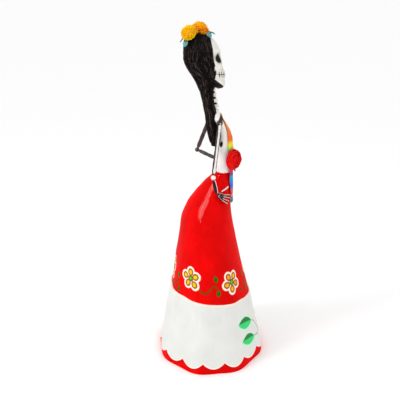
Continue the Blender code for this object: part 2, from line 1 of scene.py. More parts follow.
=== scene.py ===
"""Looks of a papier-mache catrina: glossy red bell skirt with painted flowers, white scalloped flounce, white
torso and skull, fibre hair with crepe flowers, a striped cloth sash with a rose, and painted wire-cored arms.

Lengths are in millimetres, in the figure's own frame, until a form becomes a mesh in metres.
"""

import math
import random

import bmesh
import bpy
import numpy as np
from mathutils import Matrix, Vector


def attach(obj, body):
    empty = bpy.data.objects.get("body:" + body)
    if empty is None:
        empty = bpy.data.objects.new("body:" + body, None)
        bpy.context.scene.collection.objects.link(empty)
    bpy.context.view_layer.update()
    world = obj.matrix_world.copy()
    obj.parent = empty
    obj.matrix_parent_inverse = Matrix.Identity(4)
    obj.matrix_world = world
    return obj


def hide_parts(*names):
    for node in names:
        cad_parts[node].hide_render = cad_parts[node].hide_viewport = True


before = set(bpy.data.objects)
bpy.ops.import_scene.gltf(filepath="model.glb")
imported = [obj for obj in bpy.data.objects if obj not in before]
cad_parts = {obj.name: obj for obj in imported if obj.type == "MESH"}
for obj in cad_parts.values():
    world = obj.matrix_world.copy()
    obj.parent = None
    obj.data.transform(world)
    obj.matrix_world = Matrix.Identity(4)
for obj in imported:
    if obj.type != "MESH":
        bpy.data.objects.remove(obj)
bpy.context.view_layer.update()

MM = 0.001
TAU = 2 * math.pi

# ---- Stations and points of the figure
SKIRT_WALL = 2.6
FLOUNCE_TOP_HALVES = (73.5, 47.0)
SKIRT_TOP_Z = 221.0
SCALLOPS = 15
FLOUNCE_TOP_Z = 78.5
FLOUNCE_BACK_RISE = 4.5
FLOUNCE_CUSP_Z = 12.8
SCALLOP_DEPTH = 6.6
SCALLOP_TURN_DEG = 3.2
HEM_CORNERS = 8
HEM_CORNER_TURN_DEG = 30.0
HEM_CORNER_SHARE = 0.022
HEM_CORNER_FADE_Z = 170.0
HEAD_CENTRE = (0.0, 7.5, 355.0)
HEAD_TILT_DEG = -9.0
MOUTH_HALF = 11.6
TOOTH_WIDTH = 2.5
VERTEBRA_STEP = 6.6
HAIR_TOP_Z, HAIR_END_Z = 387.6, 254.0
HAIRLINE_Y = -10.9  # in the head's own upright frame
ARM_RADIUS = 2.5
SHOULDER_BALL_RADIUS = 3.6
ELBOW_BEAD_RADIUS = 2.9
WRAP_END_RADIUS = 1.2
FINGER_RADIUS = 0.85
FINGER_NAMES = ("thumb", "index_finger", "middle_finger", "ring_finger", "little_finger")
GAP = 0.4
FAR = 99.0  # a distance at which a mark paints nothing

# Height, centre x, centre y, half width along X, half depth along Y.
SKIRT = [
    (0, 0, 0.0, 97.0, 64.0),
    (24, 0, 0.2, 90.0, 57.8),
    (50, 0, 0.9, 82.0, 52.5),
    (80, 0, 1.3, 73.5, 47.0),
    (122, 0, 3.6, 61.0, 39.0),
    (150, 0, 4.6, 52.0, 33.4),
    (168, 0, 4.8, 45.5, 30.8),
    (186, 0, 1.5, 36.5, 26.2),
    (200, 0, -4.2, 27.5, 21.0),
    (211, 0, -9.0, 20.0, 16.4),
    (221, 0, -14.4, 13.0, 10.8),
]
BODICE = [
    (221.5, 0, -16.0, 12.4, 9.4),
    (237, 0, -15.8, 12.8, 9.4),
    (252, 0, -15.8, 14.6, 9.8),
    (265, 0, -14.9, 16.8, 9.2),
    (273, 0, -13.2, 18.6, 8.2),
    (281, 0, -9.6, 21.4, 7.2),
    (288, 0, -5.2, 22.6, 7.0),
    (294, 0, -4.4, 17.0, 6.0),
    (298, 0, -4.6, 8.5, 5.2),
]
SHOULDER_TWIST_DEG = 9.0
TWIST_FROM_Z, TWIST_TO_Z = 235.0, 285.0
SKULL = [
    (-34.5, 0, -12.6, 4.4, 3.4),
    (-32, 0, -12.0, 8.0, 6.6),
    (-26, 0, -9.8, 11.2, 10.0),
    (-18, 0, -6.8, 13.6, 13.4),
    (-9, 0, -3.6, 15.9, 16.4),
    (0, 0, -1.4, 17.6, 18.2),
    (9, 0, -0.6, 18.8, 18.8),
    (18, 0, 0.0, 17.4, 17.4),
    (25, 0, 0.8, 12.8, 13.0),
    (29.5, 0, 1.4, 6.6, 7.0),
    (31, 0, 1.4, 2.0, 2.2),
]
HAIR = [
    (388, 0, 14.6, 7.0, 8.0),
    (386, 0, 14.6, 13.0, 14.0),
    (380, 0, 12.8, 18.0, 17.4),
    (370, 0, 12.2, 21.5, 18.8),
    (356, 0, 12.0, 22.4, 19.0),
    (347, 0, 9.4, 20.4, 18.0),
    (338, -0.5, 6.8, 16.6, 14.6),
    (328, -1.5, 6.2, 12.4, 9.6),
    (317, -4.0, 5.0, 9.8, 6.2),
    (303, -7.0, 2.6, 9.2, 5.4),
    (292, -9.5, -0.4, 8.8, 6.0),
    (281, -12.0, -1.4, 8.4, 5.9),
    (271, -14.0, -2.7, 7.6, 5.3),
    (262, -15.6, -4.0, 6.8, 4.8),
    (257, -16.2, -4.5, 6.0, 4.1),
]
NECK = [(0, -4.9, 299.8), (0, -2.5, 312), (0, 1.0, 331), (0, 1.8, 338)]
NECK_RADII = (5.2, 4.3, 4.6, 4.6)
RIGHT_SHOULDER = (-27.6, -10.1, 285.8)
RIGHT_ELBOW = (-31.5, -2.6, 221.4)
RIGHT_WRIST = (-35.0, -6.6, 203.2)
LEFT_SHOULDER = (27.6, -0.7, 287.6)
LEFT_ELBOW = (54.0, 16.6, 238.0)
LEFT_WRIST = (18.5, -24.6, 225.4)
# Each finger as its knuckle, middle joint and tip, measured from the wrist; the thumb comes first.
RIGHT_FINGERS = [
    [(3.0, -5.6, 0.6), (4.4, -10.2, 4.0), (6.4, -14.0, 7.0)],
    [(5.2, -7.4, -2.6), (9.4, -12.4, -4.0), (14.0, -16.2, -5.6)],
    [(4.0, -7.2, -4.8), (8.4, -12.0, -7.0), (12.6, -16.0, -9.0)],
    [(2.6, -6.6, -6.8), (6.2, -11.0, -9.6), (9.8, -15.0, -12.0)],
    [(1.0, -5.8, -8.4), (3.8, -9.4, -11.6), (6.2, -13.0, -14.4)],
]
LEFT_FINGERS = [
    [(-6.6, -2.2, 5.0), (-11.2, -4.8, 8.0), (-15.0, -7.8, 10.0)],
    [(-9.0, -3.8, 4.8), (-15.4, -7.4, 7.0), (-19.8, -10.4, 9.2)],
    [(-9.4, -4.0, 2.6), (-15.6, -6.6, 3.6), (-20.0, -8.4, 4.6)],
    [(-9.4, -3.8, 0.4), (-15.2, -5.6, 0.6), (-19.4, -6.4, 1.0)],
    [(-9.0, -3.4, -1.8), (-14.2, -4.6, -2.6), (-17.8, -5.0, -3.2)],
]
SASH_TOP_Z, SASH_END_Z = 293.0, 193.0
SASH_HALF_WIDTH = 13.5
FRINGE_LENGTH = 8.0
ROSE_BASE = (-11.6, -25.0, 239.4)
ROSE_AXIS = (-0.66, -0.75, 0.0)
BLOOMS = [
    ("marigold_right", (-13.4, 24.8, 385.0), (-0.55, 0.38, 0.74), 8.8),
    ("marigold_top", (0.0, 14.0, 389.2), (0.0, -0.14, 0.99), 9.2),
    ("marigold_left", (13.4, 24.8, 385.0), (0.55, 0.38, 0.74), 8.8),
]
LEAVES = [
    ((-9.6, 4.4, 387.0), (-0.66, -0.44, -0.61)),
    ((0.0, 2.6, 387.8), (0.0, -0.9, -0.30)),
    ((9.6, 4.4, 387.0), (0.66, -0.44, -0.61)),
    ((-16.2, 28.0, 378.4), (-0.50, 0.36, -0.79)),
    ((0.0, 30.6, 381.8), (0.0, 0.6, -0.60)),
    ((16.2, 28.0, 378.4), (0.50, 0.36, -0.79)),
]

# ---- Paint, in linear light
RED = (0.82, 0.0006, 0.0006)
RED_DEEP = (0.66, 0.0003, 0.0003)
CREAM = (1.0, 0.80, 0.66)
YELLOW = (0.98, 0.56, 0.015)
ORANGE = (0.95, 0.30, 0.012)
OLIVE = (0.16, 0.09, 0.006)
DOT_GREEN = (0.06, 0.34, 0.01)
VINE = (0.17, 0.055, 0.002)
LEAF_DARK = (0.010, 0.10, 0.004)
MINT = (0.42, 0.88, 0.60)
SPRIG_DARK = (0.004, 0.18, 0.020)
SPRIG_LIGHT = (0.010, 0.66, 0.15)
PLASTER = (0.755, 0.765, 0.725)
BONE = (0.84, 0.82, 0.77)
INK = (0.006, 0.005, 0.005)
ARM_BROWN = (0.035, 0.022, 0.018)


# ---- Shader values
class Value:
    """A shader socket that takes part in sums, so that a material reads as a formula."""

    def __init__(self, paint, socket):
        self.paint, self.socket = paint, socket

    def __add__(self, other):
        return self.paint.math("ADD", self, other)

    def __sub__(self, other):
        return self.paint.math("SUBTRACT", self, other)

    def __mul__(self, other):
        return self.paint.math("MULTIPLY", self, other)

    __radd__ = __add__
    __rmul__ = __mul__


class Paint:
    """One material: constants on the shader, and a few lines that build its colour, roughness and relief."""

    def __init__(self, name, shine=0.5, **constants):
        self.material = bpy.data.materials.new(name)
        self.material.use_nodes = True
        self.tree = self.material.node_tree
        self.shader = self.tree.nodes["Principled BSDF"]
        self.shader.inputs["Specular IOR Level"].default_value = shine
        for key, value in constants.items():
            self.shader.inputs[key.replace("_", " ")].default_value = value
        self.place = None

    def node(self, kind, settings=(), **inputs):
        made = self.tree.nodes.new(kind)
        for key, value in dict(settings).items():
            setattr(made, key, value)
        for key, value in inputs.items():
            self.feed(made.inputs[int(key[1:]) if key[0] == "i" and key[1:].isdigit() else key], value)
        return made

    def feed(self, socket, value):
        if isinstance(value, Value):
            self.tree.links.new(value.socket, socket)
        elif isinstance(value, tuple) and len(value) == 3 and len(socket.default_value) == 4:
            socket.default_value = (*value, 1.0)
        else:
            socket.default_value = value

    def math(self, kind, a, b):
        return Value(self, self.node("ShaderNodeMath", {"operation": kind}, i0=a, i1=b).outputs[0])

    def where(self):
        if self.place is None:
            self.place = Value(self, self.node("ShaderNodeTexCoord").outputs["Object"])
        return self.place

    def stretched(self, x, y, z):
        return Value(self, self.node("ShaderNodeMapping", i0=self.where(), Scale=(x, y, z)).outputs[0])

    def noise(self, size_mm, detail=3.0, vector=None, distortion=0.0):
        """A value from 0 to 1 that wanders over about size_mm."""
        inputs = {"Vector": vector or self.where(), "Scale": 1000.0 / size_mm, "Detail": detail}
        return Value(self, self.node("ShaderNodeTexNoise", Distortion=distortion, **inputs).outputs["Fac"])

    def read(self, name):
        return Value(self, self.node("ShaderNodeAttribute", {"attribute_name": name}).outputs["Fac"])

    def ease(self, value, low, high, to_low=0.0, to_high=1.0):
        """Goes smoothly from to_low at low to to_high at high."""
        made = self.node("ShaderNodeMapRange", {"interpolation_type": "SMOOTHSTEP"}, Value=value)
        for key, number in zip(("From Min", "From Max", "To Min", "To Max"), (low, high, to_low, to_high)):
            made.inputs[key].default_value = number
        return Value(self, made.outputs["Result"])

    def inside(self, distance, edge=0.0, soft=0.25):
        """1 where a distance in millimetres is under edge, 0 outside."""
        return self.ease(distance, edge - soft, edge + soft, 1.0, 0.0)

    def over(self, colour, distance, edge, soft, new):
        """Lays a new colour where a distance in millimetres is under edge."""
        return self.mix(self.inside(distance, edge, soft), colour, new)

    def layers(self, colour, wobble, rows):
        """Lays colours in turn; each row is a mark, its share of the wobble, edge, softness, colour."""
        for mark, share, edge, soft, new in rows:
            colour = self.over(colour, self.read(mark) + wobble * share, edge, soft, new)
        return colour

    def mix(self, share, a, b):
        made = self.node("ShaderNodeMix", {"data_type": "RGBA"}, i0=share, i6=a, i7=b)
        return Value(self, made.outputs[2])

    def ramp(self, value, stops):
        made = self.node("ShaderNodeValToRGB", Fac=value)
        ramp = made.color_ramp
        while len(ramp.elements) < len(stops):
            ramp.elements.new(0.5)
        for element, (place, colour) in zip(ramp.elements, stops):
            element.position = place
            element.color = (*colour, 1.0)
        return Value(self, made.outputs["Color"])

    def finish(self, colour=None, roughness=None, height=None, relief_mm=0.2, strength=1.0):
        if colour is not None:
            self.feed(self.shader.inputs["Base Color"], colour)
        if roughness is not None:
            self.feed(self.shader.inputs["Roughness"], roughness)
        if height is not None:
            bump = self.node("ShaderNodeBump", Height=height, Distance=relief_mm * MM, Strength=strength)
            self.tree.links.new(bump.outputs[0], self.shader.inputs["Normal"])
        return self.material


# ---- Mesh tools
def make_object(name, mat, slot, replaces, verts, faces, marks=None, sharp_deg=None, body="figure"):
    """A mesh in metres from points in millimetres; marks are named numbers, one to a point."""
    mesh = bpy.data.meshes.new(name)
    points = np.asarray([tuple(v) for v in verts], float) * MM
    mesh.from_pydata(points.tolist(), [], [tuple(int(i) for i in f) for f in faces])
    bm = bmesh.new()
    bm.from_mesh(mesh)
    bmesh.ops.recalc_face_normals(bm, faces=bm.faces)
    bm.to_mesh(mesh)
    bm.free()
    mesh.shade_smooth()
    if sharp_deg:
        mesh.set_sharp_from_angle(angle=math.radians(sharp_deg))
    for key, values in (marks or {}).items():
        layer = mesh.attributes.new(key, "FLOAT", "POINT")
        layer.data.foreach_set("value", np.asarray(values, np.float32))
    mesh.materials.append(mat)
    obj = bpy.data.objects.new(name, mesh)
    bpy.context.scene.collection.objects.link(obj)
    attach(obj, body)
    if replaces:
        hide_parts(*replaces)
    return obj


def coat_node(name, mat):
    """Gives a node of the figure's solid model a new material."""
    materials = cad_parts[name].data.materials
    materials.clear()
    materials.append(mat)


def grid_faces(rows, columns, closed, start=0):
    """Faces of a grid of points kept row by row; closed joins the last column to the first."""
    faces = []
    for r in range(rows - 1):
        for c in range(columns if closed else columns - 1):
            n = (c + 1) % columns
            a, b = start + r * columns, start + (r + 1) * columns
            faces.append((a + c, a + n, b + n, b + c))
    return faces


def capped_faces(rows, columns):
    """Faces of closed rings of points, with an end face on the first and on the last."""
    ends = [tuple(range(columns)), tuple(range((rows - 1) * columns, rows * columns))]
    return grid_faces(rows, columns, True) + ends


class Build:
    """Collects several closed forms into one mesh, with their marks."""

    def __init__(self, *marks):
        self.verts, self.faces, self.marks = [], [], {m: [] for m in marks}

    def add(self, verts, faces, **marks):
        start = len(self.verts)
        self.verts += [tuple(v) for v in verts]
        self.faces += [tuple(start + i for i in f) for f in faces]
        for key in self.marks:
            value = marks.get(key, 0.0)
            self.marks[key] += list(value) if hasattr(value, "__len__") else [value] * len(verts)

    def tube(self, line, radii, sides, up=None, **marks):
        """A closed tube through the points; u runs round it and v along it."""
        side = None
        verts, us, vs = [], [], []
        for k, p in enumerate(line):
            a, b = line[max(k - 1, 0)], line[min(k + 1, len(line) - 1)]
            along = (Vector(b) - Vector(a)).normalized()
            if side is None:
                side = Vector(up) if up else along.orthogonal()
            side = (side - along * side.dot(along)).normalized()
            other = along.cross(side)
            for i in range(sides):
                t = TAU * i / sides
                verts.append(Vector(p) + (math.cos(t) * side + math.sin(t) * other) * float(radii[k]))
                us.append(i / sides)
                vs.append(k / (len(line) - 1))
        self.add(verts, capped_faces(len(line), sides), **{"round": us, "along": vs, **marks})

    def make(self, name, mat, slot, replaces=(), sharp_deg=None, body="figure"):
        parts = (self.verts, self.faces, self.marks)
        return make_object(name, mat, slot, replaces, *parts, sharp_deg=sharp_deg, body=body)


def smooth_between(values, t):
    """Catmull-Rom through equally counted tuples; t runs from 0 to len(values) - 1."""
    i = min(max(int(t), 0), len(values) - 2)
    f = t - i
    p = [values[min(max(k, 0), len(values) - 1)] for k in (i - 1, i, i + 1, i + 2)]
    return tuple(
        0.5 * (2 * b + (c - a) * f + (2 * a - 5 * b + 4 * c - d) * f**2 + (3 * b - a - 3 * c + d) * f**3)
        for a, b, c, d in zip(*p)
    )


def smooth_line(points, steps):
    """The points joined by a smooth line, with so many steps from each to the next."""
    count = (len(points) - 1) * steps
    return [smooth_between(points, k / steps) for k in range(count + 1)]


def section(stations, z, rounded=0.6):
    """Centre x and y, half width and half depth at height z: linear, rounded towards a smooth curve."""
    rows = sorted(stations)
    z = min(max(z, rows[0][0]), rows[-1][0])
    for i, (low, high) in enumerate(zip(rows, rows[1:])):
        if z <= high[0]:
            f = (z - low[0]) / (high[0] - low[0])
            straight = tuple(a + (b - a) * f for a, b in zip(low[1:], high[1:]))
            curved = smooth_between([r[1:] for r in rows], i + f)
            return mix(straight, curved, rounded)
    return rows[-1][1:]


def mix(a, b, f):
    return tuple(p + (q - p) * f for p, q in zip(a, b))


def lumps(x, y, z, seed, size):
    """A smooth repeatable unevenness between about -1 and 1, for hand-made surfaces."""
    draw = random.Random(seed)
    total = 0.0
    for _ in range(6):
        a, b, c = (draw.uniform(-1, 1) * TAU / size for _ in range(3))
        total = total + np.sin(a * x + b * y + c * z + draw.uniform(0, TAU))
    return total / 3.2


def along_axis(axis, base, spin=0.0):
    """The matrix that turns a form built up +Z so that it points along axis from base."""
    turn = Vector((0, 0, 1)).rotation_difference(Vector(axis).normalized()).to_matrix().to_4x4()
    return Matrix.Translation(base) @ turn @ Matrix.Rotation(spin, 4, "Z")


HEAD = Matrix.Translation(HEAD_CENTRE) @ Matrix.Rotation(math.radians(HEAD_TILT_DEG), 4, "X")
TO_HEAD = HEAD.inverted()


def thin_sheet(surface, rows, columns, thickness, place=None):
    """A closed thin form: surface(u, v) gives a point, u from -1 to 1 and v from 0 to 1."""
    across_at = [-1 + 2 * c / (columns - 1) for c in range(columns)]
    down_at = [r / (rows - 1) for r in range(rows)]
    point = [[Vector(surface(u, v)) for u in across_at] for v in down_at]
    us, vs = across_at * (2 * rows), [v for v in down_at for _ in across_at] * 2
    verts = []
    for layer in (-0.5, 0.5):
        for r in range(rows):
            for c in range(columns):
                across = point[r][min(c + 1, columns - 1)] - point[r][max(c - 1, 0)]
                down = point[min(r + 1, rows - 1)][c] - point[max(r - 1, 0)][c]
                normal = across.cross(down)
                if normal.length > 1e-9:
                    normal.normalize()
                verts.append(point[r][c] + normal * thickness * layer)
    size = rows * columns
    faces = grid_faces(rows, columns, False)
    faces += [tuple(reversed(f)) for f in grid_faces(rows, columns, False, size)]
    rim = list(range(columns)) + [r * columns + columns - 1 for r in range(1, rows)]
    rim += [(rows - 1) * columns + c for c in range(columns - 2, -1, -1)]
    rim += [r * columns for r in range(rows - 2, 0, -1)]
    for a, b in zip(rim, rim[1:] + rim[:1]):
        faces.append((b, a, a + size, b + size))
    if place is not None:
        verts = [place @ v for v in verts]
    return verts, faces, us, vs


# ---- Distances on a painted surface, in millimetres
def to_segment(px, pz, a, b):
    """Distance to a straight line from a to b."""
    ax, az = a
    dx, dz = b[0] - ax, b[1] - az
    f = np.clip(((px - ax) * dx + (pz - az) * dz) / max(dx * dx + dz * dz, 1e-9), 0, 1)
    return np.hypot(px - ax - f * dx, pz - az - f * dz)


def to_line(px, pz, points, steps=5):
    line = smooth_line(points, steps)
    return np.minimum.reduce([to_segment(px, pz, a, b) for a, b in zip(line, line[1:])])


def to_leaf(px, pz, root, tip, half_width):
    """Signed distance to a leaf with two pointed ends; also the distance from its rib, signed by side."""
    dx, dz = tip[0] - root[0], tip[1] - root[1]
    length = math.hypot(dx, dz)
    dx, dz = dx / length, dz / length
    f = ((px - root[0]) * dx + (pz - root[1]) * dz) / length
    side = -(px - root[0]) * dz + (pz - root[1]) * dx
    edge = half_width * np.sin(np.pi * np.clip(f, 0, 1)) ** 0.8
    beyond = np.maximum(np.maximum(-f, f - 1), 0) * length
    return np.abs(side) - edge + beyond, side


def to_ellipse(px, pz, centre, turn, long_half, short_half):
    """Signed distance to an ellipse, near enough for paint."""
    c, s = math.cos(turn), math.sin(turn)
    dx, dz = px - centre[0], pz - centre[1]
    u, v = (dx * c + dz * s) / long_half, (-dx * s + dz * c) / short_half
    return (np.hypot(u, v) - 1) * min(long_half, short_half)


# ---- Skirt and flounce
ARC_TURNS = np.linspace(0, TAU, 1441)
HALF_X, HALF_Y = FLOUNCE_TOP_HALVES
ARC_STEPS = np.hypot(HALF_X * np.sin(ARC_TURNS[1:]), HALF_Y * np.cos(ARC_TURNS[1:]))
ARC_LENGTHS = np.concatenate([[0], np.cumsum(ARC_STEPS * (TAU / 1440))])
GIRTH = ARC_LENGTHS[-1]
FLOWER_ROW_SCALE = 0.82  # the skirt is narrower at the row of flowers than at the flounce's top
SPRIG_SCALE = 1.08
FRONT_ARC = GIRTH / 4
# Each flower: millimetres round the skirt from its right side towards the front, height, turn, warmth.
FLOWERS = [(-26.6, 105.2, 93, 0.05), (34.5, 99.2, -95, 0.5)]
for k, warmth in enumerate((0.3, 0.1, 0.45, 0.2), 1):
    FLOWERS.append((34.5 + 65.0 * k, 102.0 + 3.0 * math.sin(2.3 * k), 90 + 37 * k, warmth))
VINE_LINE = [(12.7, -9.4), (17.3, -12.8), (21.1, -14.2), (24.9, -12.9)]
VINE_LINE += [(30.2, -7.9), (34.8, -6.6), (37.8, -10.2)]
VINE_LEAVES = [((36.6, -2.8), (35.6, 5.6), 2.9), ((36.4, -18.4), (40.0, -10.8), 2.7)]


def arc_of(turn):
    """Millimetres round the skirt from its right side, positive towards the front."""
    return np.interp(turn % TAU, ARC_TURNS, ARC_LENGTHS) - GIRTH / 2


def wrapped(arc):
    """The same place round the skirt, within half a turn of its right side."""
    return (arc + GIRTH / 2) % GIRTH - GIRTH / 2


def skirt_points(z, turns, out, seed=5):
    """Points round the skirt at one height, or at one height to each turn, moved out of its surface."""
    heights = np.broadcast_to(z, turns.shape)
    rows = np.array([section(SKIRT, float(h)) for h in (heights if np.ndim(z) else [z])])
    cy, hx, hy = rows[:, 1], rows[:, 2], rows[:, 3]
    corner = np.cos(HEM_CORNERS * (turns - math.radians(HEM_CORNER_TURN_DEG)))
    share = 1 + HEM_CORNER_SHARE * np.maximum(0.0, 1 - heights / HEM_CORNER_FADE_Z) * corner
    x, y = hx * share * np.cos(turns), cy + hy * share * np.sin(turns)
    fade = np.clip((SKIRT_TOP_Z - heights) / 12.0, 0, 1)
    uneven = fade * (0.40 * lumps(x, y, heights, seed, 52.0) + 0.10 * lumps(x, y, heights, seed + 1, 15.0))
    push = out + uneven
    return np.stack([x + push * np.cos(turns), y + push * np.sin(turns), heights], axis=-1)


def flower_marks(arc, z, flowers, scale, size=1.0):
    """Distances to the flowers' outline, petals and middle dot, and each flower's warmth."""
    outline, petal, dot = (np.full(arc.shape, FAR) for _ in range(3))
    warm = np.zeros(arc.shape)
    for centre, height, turn, warmth in flowers:
        px, pz = wrapped(arc - centre) * scale / size, (z - height) / size
        near = np.full(arc.shape, FAR)
        for k in range(5):
            angle = math.radians(turn + 72 * k)
            reach = 8.5 + 0.7 * math.sin(3.1 * k + centre)
            at = (reach * math.cos(angle), reach * math.sin(angle))
            near = np.minimum(near, to_ellipse(px, pz, at, angle, 6.3, 5.7))
            petal = np.minimum(petal, to_ellipse(px, pz, mix(at, (0, 0), 0.02), angle, 4.5, 3.6))
        here = np.hypot(px, pz) < 22
        warm = np.where(here, warmth + 0.25 * np.sin(np.arctan2(pz, px) * 2 + centre), warm)
        outline = np.minimum(outline, near)
        dot = np.minimum(dot, np.hypot(px, pz))
    return outline * size, petal * size, dot * size, warm


def paint_flowers(paint, colour, wobble):
    """Cream outline, red ground inside it, petals with a dark edge, and a green middle."""
    outline, petal, dot = (paint.read(n) + wobble for n in ("outline", "petal", "dot"))
    colour = paint.over(colour, outline, 0.9, 0.2, CREAM)
    colour = paint.over(colour, outline, -1.3, 0.25, (0.50, 0.006, 0.002))
    colour = paint.over(colour, petal, 0.0, 0.25, OLIVE)
    patch = paint.read("warm") + (paint.noise(4.0, 2.0) - 0.5) * 0.9
    tones = [(0.0, YELLOW), (0.45, (0.96, 0.42, 0.012)), (0.8, ORANGE), (1.0, (0.85, 0.12, 0.01))]
    colour = paint.over(colour, petal, -1.0, 0.35, paint.ramp(patch, tones))
    colour = paint.over(colour, dot, 3.7, 0.35, (0.36, 0.012, 0.003))
    colour = paint.over(colour, dot, 2.7, 0.3, DOT_GREEN)
    return paint.over(colour, dot + 0.8 * (paint.noise(1.6) - 0.5), 1.1, 0.5, (0.22, 0.60, 0.10))


def build_skirt():
    paint = Paint("red_lacquer", shine=0.0, Coat_Weight=0.09, Coat_Roughness=0.05)
    wobble = (paint.noise(2.6, 2.0) - 0.5) * 1.1
    broad, fine = paint.noise(38.0, 4.0), paint.noise(2.0, 4.0)
    strips = paint.noise(15.0, 2.0, paint.stretched(1.0, 1.0, 0.35), 1.2)
    colour = paint.mix(paint.ease(broad, 0.35, 0.7), RED, RED_DEEP)
    colour = paint.mix(paint.ease(strips, 0.60, 0.72) * 0.35, colour, (0.90, 0.001, 0.001))
    stroke = paint.ease(paint.noise(3.0), 0.3, 0.75)
    leaf = paint.mix(stroke, LEAF_DARK, (0.035, 0.15, 0.004))
    colour = paint.layers(colour, wobble, [("vine", 0.6, 1.05, 0.35, VINE), ("leaf", 0.8, 0.0, 0.3, leaf)])
    colour = paint_flowers(paint, colour, wobble * 0.7)
    rough = 0.16 + 0.12 * paint.ease(fine, 0.35, 0.75) + 0.06 * broad
    painted = paint.inside(paint.read("outline"), 0.9, 0.3)
    height = broad * 1.4 + strips * 0.9 + fine * 0.16 + painted * 0.35
    mat = paint.finish(colour, rough, height, 0.42)

    columns = 480
    turns = np.arange(columns) * TAU / columns
    low_rows = [0, 1, 3, 6, 12, 20, 30, 40, 50, 58, 64]
    heights = low_rows + list(np.linspace(66, SKIRT_TOP_Z, 150))
    rings = [skirt_points(h, turns, -0.3 if h == 0 else 0.0) for h in heights]
    verts = np.concatenate(rings)
    faces = grid_faces(len(rings), columns, True)
    faces.append(tuple(range((len(rings) - 1) * columns, len(rings) * columns)))
    start = len(verts)
    inner = [215.0, 200, 186, 168, 150, 122, 80, 50, 24, 1.0, 0.0]
    inner_rings = [skirt_points(h, turns, -SKIRT_WALL + (0.3 if h == 0 else 0)) for h in inner]
    verts = np.concatenate([verts, *inner_rings])
    faces += grid_faces(len(inner), columns, True, start)
    faces.append(tuple(range(start, start + columns)))
    last = start + (len(inner) - 1) * columns
    faces += [(last + c, last + (c + 1) % columns, (c + 1) % columns, c) for c in range(columns)]

    z = verts[:, 2]
    arc = np.tile(arc_of(turns), len(rings) + len(inner))
    outside = np.arange(len(verts)) < start
    outline, petal, dot, warm = flower_marks(arc, z, FLOWERS, FLOWER_ROW_SCALE, 0.90)
    vine, leaf = np.full(arc.shape, FAR), np.full(arc.shape, FAR)
    for centre, height, *_ in FLOWERS:
        px, pz = wrapped(arc - centre), z - (height - 0.6)
        vine = np.minimum(vine, to_line(px, pz, VINE_LINE))
        for root, tip, half in VINE_LEAVES:
            leaf = np.minimum(leaf, to_leaf(px, pz, root, tip, half)[0])
    marks = {"outline": outline, "petal": petal, "dot": dot, "vine": vine, "leaf": leaf}
    marks = {k: np.where(outside, v, FAR) for k, v in marks.items()}
    marks["warm"] = warm
    make_object("skirt", mat, "red_paint", ["skirt_shell"], verts, faces, marks, sharp_deg=60)


